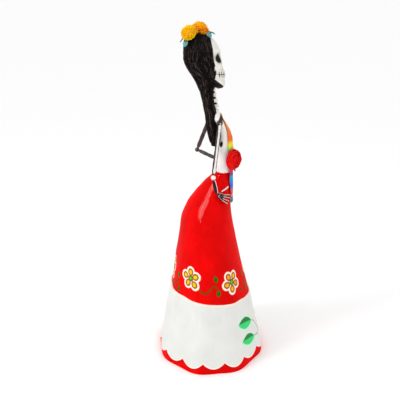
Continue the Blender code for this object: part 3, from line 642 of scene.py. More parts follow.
def build_flounce():
    paint = Paint("white_flounce_paint", shine=0.3)
    wobble = (paint.noise(2.2, 2.0) - 0.5) * 0.8
    broad, fine = paint.noise(24.0, 4.0), paint.noise(1.7, 5.0)
    brush = paint.noise(6.0, 3.0, paint.stretched(1.0, 1.0, 0.2))
    colour = paint.mix(paint.ease(broad, 0.3, 0.75), PLASTER, (0.71, 0.715, 0.69))
    colour = paint.mix(paint.ease(brush, 0.58, 0.75) * 0.5, colour, (0.83, 0.82, 0.79))
    colour = paint.mix(paint.ease(fine, 0.66, 0.8) * 0.35, colour, (0.56, 0.55, 0.52))
    edges = [("hem", 1.0, 1.7, 0.5, (1.0, 0.84, 0.72)), ("rim", 1.0, 1.5, 0.4, (1.0, 0.78, 0.66))]
    colour = paint.layers(colour, wobble, edges)
    colour = paint_flowers(paint, colour, wobble * 0.8)
    colour = paint.over(colour, paint.read("stem") + wobble * 0.5, 0.55, 0.25, SPRIG_DARK)
    leaf, side = paint.read("leaf") + wobble * 0.6, paint.read("side") + wobble * 0.8
    colour = paint.over(colour, leaf, 1.2, 0.45, MINT)
    body = paint.mix(paint.ease(side, 0.2, 1.2), SPRIG_LIGHT, SPRIG_DARK)
    colour = paint.over(colour, leaf, 0.0, 0.3, body)
    rough = 0.42 + 0.25 * fine
    mat = paint.finish(colour, rough, broad * 1.3 + brush * 0.8 + fine * 0.5, 0.34)

    columns, rows = 600, 60
    turns = np.arange(columns) * TAU / columns
    phase = SCALLOPS * (turns - math.radians(SCALLOP_TURN_DEG)) / 2
    bottom = FLOUNCE_CUSP_Z - SCALLOP_DEPTH * np.abs(np.sin(phase)) ** 0.8
    bottom = bottom + 0.5 * lumps(np.cos(turns) * 90, np.sin(turns) * 60, 0, 31, 37.0)
    bottom = np.maximum(bottom, 3.2)
    top = FLOUNCE_TOP_Z + FLOUNCE_BACK_RISE * np.sin(turns)
    top = top + 0.45 * lumps(np.cos(turns) * 73, np.sin(turns) * 47, 0, 32, 24.0)
    shares = np.linspace(0, 1, rows) ** 1.25
    verts, hem, rim = [], [], []
    for layer in (0, 1):
        for share in shares:
            z = bottom + (top - bottom) * share
            bevel = 0.5 * max(0.0, 1 - min(share, 1 - share) * 70.0 / 1.2)
            verts.append(skirt_points(z, turns, GAP + (1.5 - bevel if layer else 0.0)))
            hem.append(z - bottom)
            rim.append(top - z)
    verts, hem, rim = np.concatenate(verts), np.concatenate(hem), np.concatenate(rim)
    size = rows * columns
    faces = grid_faces(rows, columns, True) + grid_faces(rows, columns, True, size)
    for row in (0, rows - 1):
        for c in range(columns):
            a, b = row * columns + c, row * columns + (c + 1) % columns
            faces.append((a, b, b + size, a + size))
    arc = np.tile(arc_of(turns), 2 * rows)
    z = verts[:, 2]
    leaf, stem, side = np.full(arc.shape, FAR), np.full(arc.shape, FAR), np.zeros(arc.shape)
    for px in (arc, 2 * FRONT_ARC - arc):
        px = (wrapped(px - FRONT_ARC) + FRONT_ARC) * SPRIG_SCALE
        for root, tip, half in (((64.6, 43.6), (33.8, 49.0), 6.6), ((64.0, 24.8), (36.4, 28.6), 5.9)):
            d, s = to_leaf(px, z, (root[0] * SPRIG_SCALE, root[1]), (tip[0] * SPRIG_SCALE, tip[1]), half)
            side = np.where(d < leaf, -s, side)
            leaf = np.minimum(leaf, d)
        for line in (
            [(64.6, 43.6), (70, 41.0), (74.4, 36), (78.5, 31.0), (81.8, 25.5)],
            [(64, 24.8), (70.4, 23.4), (76.0, 23.0), (81.8, 25.5), (88, 32.0)],
        ):
            stem = np.minimum(stem, to_line(px, z, [(a * SPRIG_SCALE, b) for a, b in line]))
    outline, petal, dot, warm = flower_marks(arc, z, [(FRONT_ARC, 43.0, 90, 0.75)], SPRIG_SCALE, 1.15)
    marks = {"hem": hem, "rim": rim, "leaf": leaf, "side": side, "stem": stem}
    marks |= {"outline": outline, "petal": petal, "dot": dot, "warm": warm}
    make_object("skirt_flounce", mat, "white_paint", ["flounce"], verts, faces, marks, sharp_deg=60)


# ---- Torso, neck and head
def torso_turn(z):
    share = min(max((z - TWIST_FROM_Z) / (TWIST_TO_Z - TWIST_FROM_Z), 0.0), 1.0)
    return math.radians(SHOULDER_TWIST_DEG * share)


def build_torso():
    paint = Paint("white_torso_paint", shine=0.15)
    wobble = (paint.noise(1.8, 3.0) - 0.5) * 1.3
    broad, fine = paint.noise(14.0, 4.0), paint.noise(1.2, 4.0)
    colour = paint.mix(paint.ease(broad, 0.35, 0.7), (0.93, 0.90, 0.86), (0.84, 0.82, 0.80))
    colour = paint.mix(paint.ease(fine, 0.62, 0.8) * 0.4, colour, (0.60, 0.59, 0.56))
    # The ink mark paints the black ribs and drop, and also a painted shade under each shoulder.
    colour = paint.layers(colour, wobble, [("ink", 0.8, 0.0, 0.25, INK), ("waist", 1.6, 0.0, 0.2, RED)])
    mat = paint.finish(colour, 0.36 + 0.25 * fine, broad + fine * 0.35, 0.3)

    columns, rows = 112, 110
    verts = []
    for r in range(rows):
        z = BODICE[0][0] + (BODICE[-1][0] - BODICE[0][0]) * r / (rows - 1)
        _, cy, hx, hy = section(BODICE, z, 0.75)
        turn = torso_turn(z)
        for c in range(columns):
            t = TAU * c / columns
            bump = 1 + 0.012 * lumps(math.cos(t) * 20, math.sin(t) * 14, z, 41, 21.0)
            x, y = hx * bump * math.cos(t), hy * bump * math.sin(t)
            c_turn, s_turn = math.cos(turn), math.sin(turn)
            verts.append((x * c_turn - y * s_turn, cy + x * s_turn + y * c_turn, z))
    verts = np.array(verts)
    x, y, z = verts.T
    twisted = np.array([torso_turn(h) for h in z])
    along = y - x * np.sin(twisted)  # depth with the shoulders' turn taken out
    drop, _ = to_leaf(along, z, (-10.8, 253.8), (-11.8, 262.0), 1.6)
    # painted shade: a black triangle on each side of the torso under the shoulder, where the arm meets the
    # body, stands for the shade in the armpit.
    armpit_shade = np.maximum.reduce([286.4 - z, along + 4.7, (z - 287.6) - 1.4 * (-4.9 - along), 10.0 - np.abs(x)])
    front = (along + 16.0) * 0.8
    ink = np.minimum(drop, np.maximum(armpit_shade, -(along + 14.5)))
    for height, reach in ((279.0, 14.0), (271.0, 15.0), (264.0, 14.0), (246.0, 11.0), (238.5, 10.0)):
        dip = height - 0.02 * x * x
        rib = np.maximum(np.maximum(np.abs(z - dip) - 1.1, np.abs(x) - reach), front + 3.0)
        ink = np.minimum(ink, rib)
    marks = {"ink": ink, "waist": z - 222.8}
    faces = capped_faces(rows, columns)
    make_object("torso", mat, "white_paint", ["bodice"], verts, faces, marks, sharp_deg=70)


def bone_colour(paint, size=6.0):
    stain = paint.ease(paint.noise(size, 4.0), 0.4, 0.75)
    colour = paint.mix(stain, BONE, (0.70, 0.66, 0.58))
    return paint.mix(paint.ease(paint.noise(1.1, 4.0), 0.62, 0.8) * 0.45, colour, (0.52, 0.48, 0.41))


def build_neck():
    paint = Paint("neck_paint", shine=0.15)
    wobble = (paint.noise(1.6, 3.0) - 0.5) * 1.4
    colour = paint.over(bone_colour(paint), paint.read("ink") + wobble, 0.0, 0.3, INK)
    mat = paint.finish(colour, 0.4 + 0.2 * paint.noise(2.0), paint.noise(2.4, 4.0), 0.3)
    line = smooth_line([(*p, r) for p, r in zip(NECK, NECK_RADII)], 16)
    radii = [p[3] * (1 + 0.05 * math.cos(TAU * p[2] / 7.0)) for p in line]
    build = Build("round", "along", "ink")
    build.tube([p[:3] for p in line], radii, 32, up=(0, 1, 0))
    verts = np.array(build.verts)
    z = verts[:, 2]
    step = (z - 298.6) / VERTEBRA_STEP
    band = np.abs(step - np.round(step)) * VERTEBRA_STEP - 1.25
    behind = np.abs((np.array(build.marks["round"]) + 0.5) % 1.0 - 0.5) * 27.0 - 10.2
    build.marks["ink"] = list(np.maximum(band, behind))
    build.make("neck_bones", mat, "bone_paint", ["neck"], sharp_deg=70)


def dent(x, z, cx, cz, rx, rz):
    """1 in the middle of an ellipse, falling smoothly to 0 at its edge."""
    d = np.hypot((x - cx) / rx, (z - cz) / rz)
    return np.clip(1 - d * d, 0, 1) ** 1.3


def build_skull():
    paint = Paint("skull_paint", shine=0.15)
    wobble = (paint.noise(1.5, 3.0) - 0.5) * 0.7
    colour = bone_colour(paint, 9.0)
    # painted shade: the bone darkens towards the eye and nose hollows, as shade in the recesses.
    painted_socket_shade = paint.ease(paint.read("hollow") + wobble * 2.0, 0.0, 2.4, 0.45, 0.0)
    colour = paint.mix(painted_socket_shade, colour, (0.20, 0.17, 0.14))
    teeth_ink = ("teeth", 0.35, 0.42, 0.16, (0.03, 0.022, 0.018))
    rows = [("hollow", 1.0, -0.2, 0.45, INK), teeth_ink, ("jaw", 1.2, 0.0, 0.35, INK)]
    colour = paint.layers(colour, wobble, rows)
    mat = paint.finish(colour, 0.32 + 0.2 * paint.noise(2.6), paint.noise(2.2, 4.0), 0.22)

    columns, rows = 220, 150
    verts = []
    for r in range(rows):
        f = r / (rows - 1)
        z = -34.5 + 65.5 * (0.5 - 0.5 * math.cos(math.pi * f))
        _, cy, hx, hy = section(SKULL, z, 0.9)
        for c in range(columns):
            t = TAU * c / columns
            verts.append((hx * math.cos(t), cy + hy * math.sin(t), z))
    verts = np.array(verts)
    x, y, z = verts.T
    front = np.clip(-(y + 2.0) / 8.0, 0, 1)
    front = front * front * (3 - 2 * front)
    ax = np.abs(x)
    push = -4.2 * dent(ax, z, 8.1, 0.8, 6.3, 6.8)
    push -= 2.6 * np.maximum(dent(ax, z, 1.3, -10.8, 2.1, 3.6), dent(ax, z, 0.6, -8.8, 1.3, 3.0))
    push += 1.7 * dent(ax, z, 11.0, -9.4, 6.0, 5.0) + 1.1 * dent(ax, z, 6.5, 8.6, 8.0, 3.6)
    push -= 1.3 * dent(ax, z, 13.6, -17.5, 4.6, 6.0) - 0.9 * dent(ax, z, 0, -31.0, 7.0, 4.5)
    push += 1.0 * dent(ax, z, 0, -18.5, 11.0, 6.5)
    angle = np.arctan2(x, -(y + 4.0))
    around = angle * 12.6
    middle = -19.2 + 0.016 * around**2
    reach = np.clip((MOUTH_HALF - np.abs(around)) / 1.5, 0, 1)
    reach = reach * np.clip((4.3 - np.abs(z - middle)) / 0.8, 0, 1)
    tooth = np.abs(np.sin(np.pi * around / TOOTH_WIDTH)) ** 0.5
    push += reach * (0.55 * tooth - 0.1) - 0.5 * reach * np.exp(-(((z - middle) / 0.5) ** 2))
    length = np.hypot(x, y + 2.0)
    nx, ny = x / length, (y + 2.0) / length
    temple = -0.9 * dent(y, z, -6.0, 5.0, 7.0, 8.0) * (ax > 8)
    verts[:, 0] += nx * (push * front + temple)
    verts[:, 1] += ny * (push * front + temple)
    eye = to_ellipse(ax, z, (8.3, 0.8), 0.9, 6.4, 4.9)
    nostril = to_ellipse(ax, z, (1.2, -11.0), -0.3, 3.1, 1.8)
    nose_top = to_ellipse(ax, z, (0.5, -8.8), 0, 1.0, 2.4)
    hollow = np.where(front > 0.05, np.minimum.reduce([eye, nostril, nose_top]), FAR)
    line = np.maximum(np.abs(z - middle), np.abs(around) - MOUTH_HALF)
    gap = np.abs(around / TOOTH_WIDTH - np.round(around / TOOTH_WIDTH)) * TOOTH_WIDTH
    gap = np.maximum(gap, np.maximum(np.abs(z - middle) - 3.7 + 0.08 * np.abs(around), np.abs(around) - 11.0))
    teeth = np.where(front > 0.05, np.minimum(line, gap), FAR)
    jaw = z + 29.4 - 1.15 * (y + 15.0)
    jaw = np.where(y < 8, np.maximum(jaw, -(y + 17.5)), FAR)
    jaw = np.minimum(jaw, z + 33.6)
    world = [HEAD @ Vector(v) for v in verts]
    faces = capped_faces(rows, columns)
    marks = {"hollow": hollow, "teeth": teeth, "jaw": jaw}
    make_object("skull_bone", mat, "bone_paint", ["skull"], world, faces, marks, sharp_deg=70)


# ---- Hair
def hair_limit(z):
    """How far round from the back, in radians, the hair reaches at this height before the hairline."""
    cx, cy, hx, hy = section(HAIR, z)
    for k in range(181):
        turn = math.pi * k / 180
        local = TO_HEAD @ Vector((cx + hx * math.sin(turn), cy + hy * math.cos(turn), z))
        if local.z > -28 and local.y < HAIRLINE_Y + 0.8:
            return turn
    return math.pi


def fibre(name):
    """Black fibre whose strands run from black to brown and grey, each by its mark, lighter on one side as a
    painted highlight.
    """
    paint = Paint(name, shine=0.05, Sheen_Weight=0.02, Sheen_Roughness=0.4)
    tone = paint.read("tone") + (paint.noise(3.0, 3.0) - 0.5) * 0.8
    stops = [(0.0, (0.0022, 0.0015, 0.0012)), (0.5, (0.006, 0.0038, 0.003)), (0.75, (0.028, 0.018, 0.015))]
    colour = paint.ramp(tone, stops + [(1.0, (0.085, 0.062, 0.060))])
    grain = paint.noise(0.8, 3.0, paint.stretched(1.0, 1.0, 0.12))
    return paint.finish(colour, 0.36 + 0.2 * grain, grain, 0.25)


def build_hair():
    coat_node("hair", fibre("hair_base_fibre"))
    draw = random.Random(77)
    heights = [HAIR_TOP_Z - (HAIR_TOP_Z - HAIR_END_Z) * k / 66 for k in range(67)]
    limits = np.array([hair_limit(h) for h in heights])
    padded_limits = np.pad(limits, 3, mode="edge")
    limits = np.minimum(limits, np.convolve(padded_limits, np.ones(7) / 7, mode="valid"))
    build = Build("tone")
    for k in range(760):
        share = draw.uniform(-1, 1)
        share = math.copysign(abs(share) ** 0.9, share)
        lift = draw.uniform(-0.4, 0.7) if k % 5 else draw.uniform(0.4, 1.3)
        phase, pitch = draw.uniform(0, TAU), draw.uniform(14, 30)
        sway, swirl = draw.uniform(0.015, 0.06), draw.uniform(-0.12, 0.12)
        start = draw.uniform(0, 16) ** 1.1 if k % 3 else draw.uniform(0, 5)
        slant = 5.5 * (0.5 + 0.5 * math.cos(math.pi * share))
        stop = HAIR_END_Z + slant + draw.uniform(0, 2.5)
        if k % 9 == 0:
            stop = draw.uniform(262, 300)
        line = []
        for z in np.arange(HAIR_TOP_Z - start, stop, -3.1):
            at = np.interp(-z, [-h for h in heights], limits)
            cx, cy, hx, hy = section(HAIR, float(z), 0.9)
            low = min(max((340 - z) / 40, 0), 1)
            s = share + sway * math.sin(TAU * z / pitch + phase) + swirl * (HAIR_TOP_Z - z) / 130 * low
            turn = min(max(s, -1), 1) * at if at < 3.1 else s * math.pi
            out = lift + 0.35 * math.sin(TAU * z / (pitch * 0.7) + phase)
            line.append((cx + (hx + out) * math.sin(turn), cy + (hy + out) * math.cos(turn), float(z)))
        if len(line) < 5:
            continue
        line = smooth_line(line, 2)
        radius = draw.uniform(0.28, 0.55)
        count = len(line)
        fades = [min(1.0, 0.25 + 6 * i / count, 0.2 + 5 * (count - 1 - i) / count) for i in range(count)]
        # painted highlight: strands on the figure's right side, towards the camera and the lamps, are lifted
        # in tone.
        tone = draw.random() ** 2.2 + (0.18 if share < 0 else 0)
        build.tube(line, [radius * fade for fade in fades], 4, tone=tone * 0.85)
    build.make("hair_strands", fibre("hair_strand_fibre"), "black_fibre")


# ---- Head flowers
def crepe(name, tones):
    """Crepe paper with fine ribs; its depth mark runs the colour from dark at each petal's root to bright at
    its tip, a painted shade where the petals crowd in.
    """
    paint = Paint(name, shine=0.05, Sheen_Weight=0.04)
    value = paint.read("depth") + (paint.noise(2.4, 3.0) - 0.5) * 0.5
    colour = paint.ramp(value, tones)
    ribs = paint.noise(0.55, 3.0)
    return paint.finish(colour, 0.7 + 0.2 * ribs, ribs + paint.noise(1.6, 3.0), 0.22)


def lathe(profile, columns, place, wave=lambda t, h: 1.0):
    """A closed turned form from (radius, height) pairs."""
    verts = []
    for radius, height in profile:
        for c in range(columns):
            t = TAU * c / columns
            r = radius * wave(t, height)
            verts.append(place @ Vector((r * math.cos(t), r * math.sin(t), height)))
    return verts, capped_faces(len(profile), columns)


# Petals of a bloom, from the outermost ring in: count, reach, foot and crest as shares of the radius.
BLOOM_RINGS = [
    (12, 0.84, 0.04, -0.10),
    (13, 1.02, 0.12, 0.26),
    (13, 1.04, 0.26, 0.50),
    (12, 0.96, 0.42, 0.74),
    (10, 0.80, 0.58, 0.92),
    (8, 0.58, 0.70, 1.06),
    (6, 0.34, 0.82, 1.14),
]
# Half-open blooms that close the gaps between the three large ones: base, axis, radius, and a painted shade
# that darkens or lightens their petals.
FILLERS = [
    ((-6.8, 21.6, 386.4), (-0.42, 0.22, 0.88), 7.6, 0.12),
    ((6.8, 21.6, 386.4), (0.42, 0.22, 0.88), 7.6, 0.12),
    ((-5.2, 8.6, 387.2), (-0.55, -0.25, 0.80), 5.6, -0.30),
    ((5.2, 8.6, 387.2), (0.55, -0.25, 0.80), 5.6, -0.30),
]


def add_bloom(build, base, axis, radius, draw, shade=0.0):
    """A crepe bloom: a closed core under rings of cupped petals."""
    place = along_axis(axis, base, draw.uniform(0, TAU))
    profile = [(0.5, 0.0), (0.86, 0.24), (0.84, 0.5), (0.7, 0.74), (0.42, 0.93), (0.1, 1.0)]
    verts, faces = lathe([(radius * a, radius * b) for a, b in profile], 40, place)
    # painted shade: the core, deep among the petals, takes a dark colour from low on the ramp.
    build.add(verts, faces, depth=0.22 + shade)
    for count, reach, low, high in BLOOM_RINGS:
        for k in range(count):
            turn = TAU * (k + draw.uniform(-0.2, 0.2)) / count
            half = 1.35 * math.pi * reach * radius / count
            far = radius * reach * draw.uniform(0.9, 1.04)
            bottom, top = radius * low, radius * high * draw.uniform(0.94, 1.04)
            phase, ruffle = draw.uniform(0, TAU), draw.uniform(0.3, 0.7)

            def petal(u, v):
                narrowing = 1 - 0.35 * max(v - 0.8, 0) / 0.2
                wide = half * (0.3 + 0.7 * math.sin(math.pi * min(v, 0.8) / 1.6)) * narrowing
                r = 0.5 + (far - 0.5) * math.sin(math.pi / 2 * min(v * 1.08, 1.0)) - 0.7 * u * u
                z = bottom + (top - bottom) * v**1.6 + ruffle * math.sin(3.5 * u + phase) * v * v
                c, s = math.cos(turn), math.sin(turn)
                return (r * c - wide * u * s, r * s + wide * u * c, z)

            verts, faces, _, vs = thin_sheet(petal, 7, 7, 0.28, place)
            # painted shade: each petal darkens towards its root, and the bloom's shade moves it darker or
            # lighter.
            tone = draw.uniform(-0.08, 0.08) + shade
            build.add(verts, faces, depth=[0.1 + 0.85 * v + tone for v in vs])


def build_blooms():
    # The dark first stops of these ramps are the painted shade at the petals' roots.
    yellow = [(0.0, (0.50, 0.10, 0.004)), (0.28, (0.92, 0.36, 0.004))]
    yellow += [(0.6, (1.0, 0.58, 0.002)), (1.0, (1.0, 0.68, 0.006))]
    orange = [(0.0, (0.30, 0.02, 0.003)), (0.3, (0.85, 0.16, 0.004))]
    orange += [(0.62, (1.0, 0.38, 0.003)), (1.0, (1.0, 0.55, 0.004))]
    mats = {"yellow_paper": crepe("crepe_yellow", yellow), "orange_paper": crepe("crepe_orange", orange)}
    for n, (name, base, axis, radius) in enumerate(BLOOMS):
        draw = random.Random(500 + n)
        build = Build("depth")
        add_bloom(build, base, axis, radius, draw)
        top = name == "marigold_top"
        if top:
            for filler_base, filler_axis, filler_radius, shade in FILLERS:
                add_bloom(build, filler_base, filler_axis, filler_radius, draw, shade)
        slot = "orange_paper" if top else "yellow_paper"
        build.make(f"{name}_petals", mats[slot], slot, [name])


def build_leaves():
    paint = Paint("teal_leaf_paper", shine=0.25)
    rib = paint.inside(paint.read("rib") * 3.0, 0.35, 0.2)
    colour = paint.mix(paint.noise(3.0, 3.0), (0.030, 0.20, 0.215), (0.16, 0.46, 0.47))
    colour = paint.mix(rib * 0.7, colour, (0.012, 0.085, 0.10))
    mat = paint.finish(colour, 0.5 + 0.2 * paint.noise(1.5), paint.noise(1.3, 3.0) - rib * 0.8, 0.25)
    for k, (root, direction) in enumerate(LEAVES, 1):
        along = Vector(direction).normalized()
        side = along.cross(Vector((0, 0, 1))).normalized()
        up = side.cross(along)

        def leaf(u, v, root=root, along=along, side=side, up=up, k=k):
            half = 3.3 * math.sin(math.pi * (0.05 + 0.93 * v)) ** 0.75
            lift = 0.9 * u * u - 1.6 * (v - 0.3) ** 2 + 0.25 * math.sin(9 * v + k) * abs(u)
            return Vector(root) + along * 7.6 * v + side * half * u + up * (lift + 0.4)

        verts, faces, us, _ = thin_sheet(leaf, 18, 13, 0.55)
        marks = {"rib": np.abs(us)}
        make_object(f"teal_leaf_{k}", mat, "teal_paper", [f"crown_leaf_{k}"], verts, faces, marks)


# ---- Sash and rose
def front_of_body(z, x):
    """The y of the front of the torso or skirt at height z, x from the middle."""
    above = z > SKIRT_TOP_Z + 8
    _, cy, hx, hy = section(BODICE if above else SKIRT, z, 0.0)
    share = min(abs(x) / hx, 0.96)
    return cy - hy * math.sqrt(1 - share**2) + (x * math.sin(torso_turn(z)) if above else 0.0)


def sash_line(z, x):
    """The y of the sash's inner face: it hangs from the bust, so it never goes back in below it."""
    levels = [z + 3 * k for k in range(16) if z + 3 * k < 268]
    bust = [front_of_body(level, x) for level in levels]
    return min([front_of_body(z, x)] + [b + 0.02 * abs(i) for i, b in enumerate(bust)]) - 2 * GAP


SASH_STRIPES = [
    (186.0, (0.02, 0.28, 0.42)),
    (188.0, (0.012, 0.012, 0.015)),
    (190.0, (0.10, 0.50, 0.62)),
    (192.2, (0.03, 0.03, 0.04)),
    (194.0, (0.80, 0.30, 0.42)),
    (196.5, (0.80, 0.02, 0.012)),
    (201.0, (0.62, 0.15, 0.02)),
    (205.5, (0.01, 0.13, 0.72)),
    (212.0, (0.01, 0.22, 0.80)),
    (217.5, (0.01, 0.40, 0.50)),
    (220.5, (0.20, 0.02, 0.30)),
    (226.0, (0.80, 0.04, 0.02)),
    (240.0, (0.30, 0.02, 0.25)),
    (246.0, (0.02, 0.22, 0.55)),
    (250.0, (0.01, 0.38, 0.22)),
    (253.5, (0.62, 0.76, 0.02)),
    (258.0, (1.0, 0.82, 0.01)),
    (263.0, (0.86, 0.13, 0.01)),
    (268.0, (0.90, 0.14, 0.008)),
    (276.0, (0.93, 0.22, 0.012)),
    (284.0, (1.0, 0.33, 0.06)),
    (290.0, (1.0, 0.50, 0.22)),
]


def striped(name):
    """Woven cloth, its stripes across the length and a little uneven."""
    paint = Paint(name, shine=0.08, Sheen_Weight=0.06, Sheen_Roughness=0.5)
    low, high = 185.0, 294.0
    spread = (paint.read("height") + (paint.noise(4.0, 2.0) - 0.5) * 1.6 - low) * (1 / (high - low))
    stops = [(max((z - low) / (high - low), 0.0), colour) for z, colour in SASH_STRIPES]
    colour = paint.ramp(spread, stops)
    threads = []
    for way in ("Z", "X"):
        wave = paint.node("ShaderNodeTexWave", {"bands_direction": way}, Vector=paint.where(), Scale=360.0)
        threads.append(Value(paint, wave.outputs["Fac"]))
    weft, warp = threads
    # painted highlight: the thread crossings, where the weave stands highest, are lightened towards cream.
    shade = paint.mix(weft * warp * 0.10, colour, (0.9, 0.85, 0.75))
    return paint.finish(shade, 0.75 + 0.15 * weft, weft + warp, 0.12)


def build_sash():
    mat = striped("striped_weave")

    def half_width(z):
        top = min(1.0, 0.46 + 0.54 * ((SASH_TOP_Z - z) / 12.0) ** 0.8)
        return top * (SASH_HALF_WIDTH + 3.6 * min(max((z - 236) / 14, 0), 1))

    def cloth(u, v):
        z = SASH_TOP_Z + (SASH_END_Z - SASH_TOP_Z) * v
        x = half_width(z) * u
        fold = 0.35 * math.sin(2.5 * math.pi * u + 0.03 * z) + 0.25 * math.sin(0.21 * z + 2 * u)
        return (x, sash_line(z, x) - 0.45 - 0.7 * abs(fold) * min(1.0, 0.3 + v), z)

    verts, faces, *_ = thin_sheet(cloth, 150, 41, 0.55)
    marks = {"height": [v[2] for v in verts]}
    sash = make_object("sash_cloth", mat, "striped_cloth", ["sash"], verts, faces, marks)
    draw = random.Random(9)
    build = Build("height")
    for k in range(46):
        u = -1 + 2 * (k + 0.5) / 46
        x, y, z = cloth(u * 0.98, 1.0)
        lean = draw.uniform(-0.5, 0.5)
        length = FRINGE_LENGTH * draw.uniform(0.86, 1.0)
        line = []
        for f in np.linspace(0, 1, 9):
            swing = 0.5 * math.sin(3 * f + k) * f
            line.append((x + lean * f * f, y - 0.1 + swing, z + 0.3 - length * f))
        build.tube(line, [0.24] * 8 + [0.12], 5, height=[p[2] for p in line for _ in range(5)])
    fringe = build.make("sash_tassels", mat, "striped_cloth", ["sash_fringe"])


def build_rose():
    # The dark first stops are the painted shade deep in the rose, at the petals' roots.
    tones = [(0.0, (0.16, 0.001, 0.003)), (0.4, (0.50, 0.002, 0.004))]
    tones += [(0.75, (0.86, 0.004, 0.004)), (1.0, (0.97, 0.012, 0.008))]
    mat = crepe("rose_crepe", tones)
    place = along_axis(ROSE_AXIS, ROSE_BASE)
    draw = random.Random(21)
    outer, heart = Build("depth"), Build("depth")
    whorls = [(6, 12.5, 0.0, 2.8), (6, 12.2, 0.5, 4.6), (5, 11.0, 1.0, 6.6), (5, 9.0, 1.6, 8.2)]
    inner = [(4, 6.6, 2.2, 9.4), (3, 4.1, 2.8, 10.1), (2, 2.1, 3.2, 10.5)]

    def add_whorl(build, count, far, bottom, top):
        spin = draw.uniform(0, TAU)
        for k in range(count):
            turn = spin + TAU * (k + draw.uniform(-0.12, 0.12)) / count
            spread = TAU / count * 0.68
            reach, crest = far * draw.uniform(0.95, 1.02), top * draw.uniform(0.94, 1.04)
            phase = draw.uniform(0, TAU)

            def petal(u, v):
                angle = turn + u * spread * (0.35 + 0.65 * math.sin(math.pi / 2 * min(1.0, v * 1.3)))
                r = 0.6 + (reach - 0.6) * math.sin(math.pi / 2 * min(1.0, v * 1.25)) + 0.5 * u
                r += -1.4 * max(v - 0.75, 0) * 2 + 0.35 * math.sin(4 * u + phase) * v
                ripple = 0.25 * math.sin(6 * u + phase) * v
                z = bottom + (crest - bottom) * v**1.7 * (1 - 0.18 * u * u) + ripple
                return (r * math.cos(angle), r * math.sin(angle), z)

            verts, faces, _, vs = thin_sheet(petal, 11, 13, 0.4, place)
            # painted shade: each petal darkens towards its root.
            tone = draw.uniform(-0.1, 0.1)
            build.add(verts, faces, depth=[0.15 + 0.75 * v + tone for v in vs])

    verts, faces = lathe([(3.0, 0.0), (8.8, 0.4), (10.2, 1.6), (9.2, 3.6), (6.0, 5.8), (1.5, 7.0)], 40, place)
    # painted shade: the hidden core takes a dark colour from low on the ramp.
    outer.add(verts, faces, depth=0.2)
    for whorl in whorls:
        add_whorl(outer, *whorl)
    for whorl in inner:
        add_whorl(heart, *whorl)
    outer.make("rose_outer", mat, "rose_paper", ["rose_petals"], body="left_lower")
    heart.make("rose_heart", mat, "rose_paper", ["rose_bud"], body="left_lower")


# ---- Arms
def arm_paint(name, skin):
    """Dark painted paper wrap with a bone painted white along one side."""
    paint = Paint(name, shine=0.12)
    wobble = (paint.noise(1.6, 3.0) - 0.5) * 0.7
    dark = paint.mix(paint.ease(paint.noise(3.5, 4.0), 0.4, 0.72), skin, tuple(2.6 * c for c in skin))
    colour = paint.over(dark, paint.read("stripe") + wobble, 0.0, 0.2, bone_colour(paint, 5.0))
    return paint.finish(colour, 0.38 + 0.25 * paint.noise(1.2), paint.noise(1.6, 4.0), 0.22)


def striped_tube(build, line, radii, up, half_width, from_v=0.0, to_v=1.0, sides=18):
    """A tube whose stripe mark is the distance to a bone painted along its up side."""
    start = len(build.verts)
    build.tube(line, radii, sides, up=up)
    around = np.array(build.marks["round"][start:])
    along = np.array(build.marks["along"][start:])
    radius = np.repeat(radii, sides)
    length = (Vector(line[-1]) - Vector(line[0])).length
    arc = np.minimum(around, 1 - around) * TAU * radius
    knob = 1 + sum(0.45 * np.exp(-(((along - end) / 0.08) ** 2)) for end in (from_v, to_v))
    beyond = np.maximum(np.maximum(from_v - along, along - to_v), 0) * length
    build.marks["stripe"][start:] = list(arc - half_width * knob + beyond)


def tapered(radius, distance):
    """The wrap's radius at a distance from its end, where it thins down."""
    return WRAP_END_RADIUS + (radius - WRAP_END_RADIUS) * min(max(distance / 4.0, 0.0), 1.0) ** 0.6


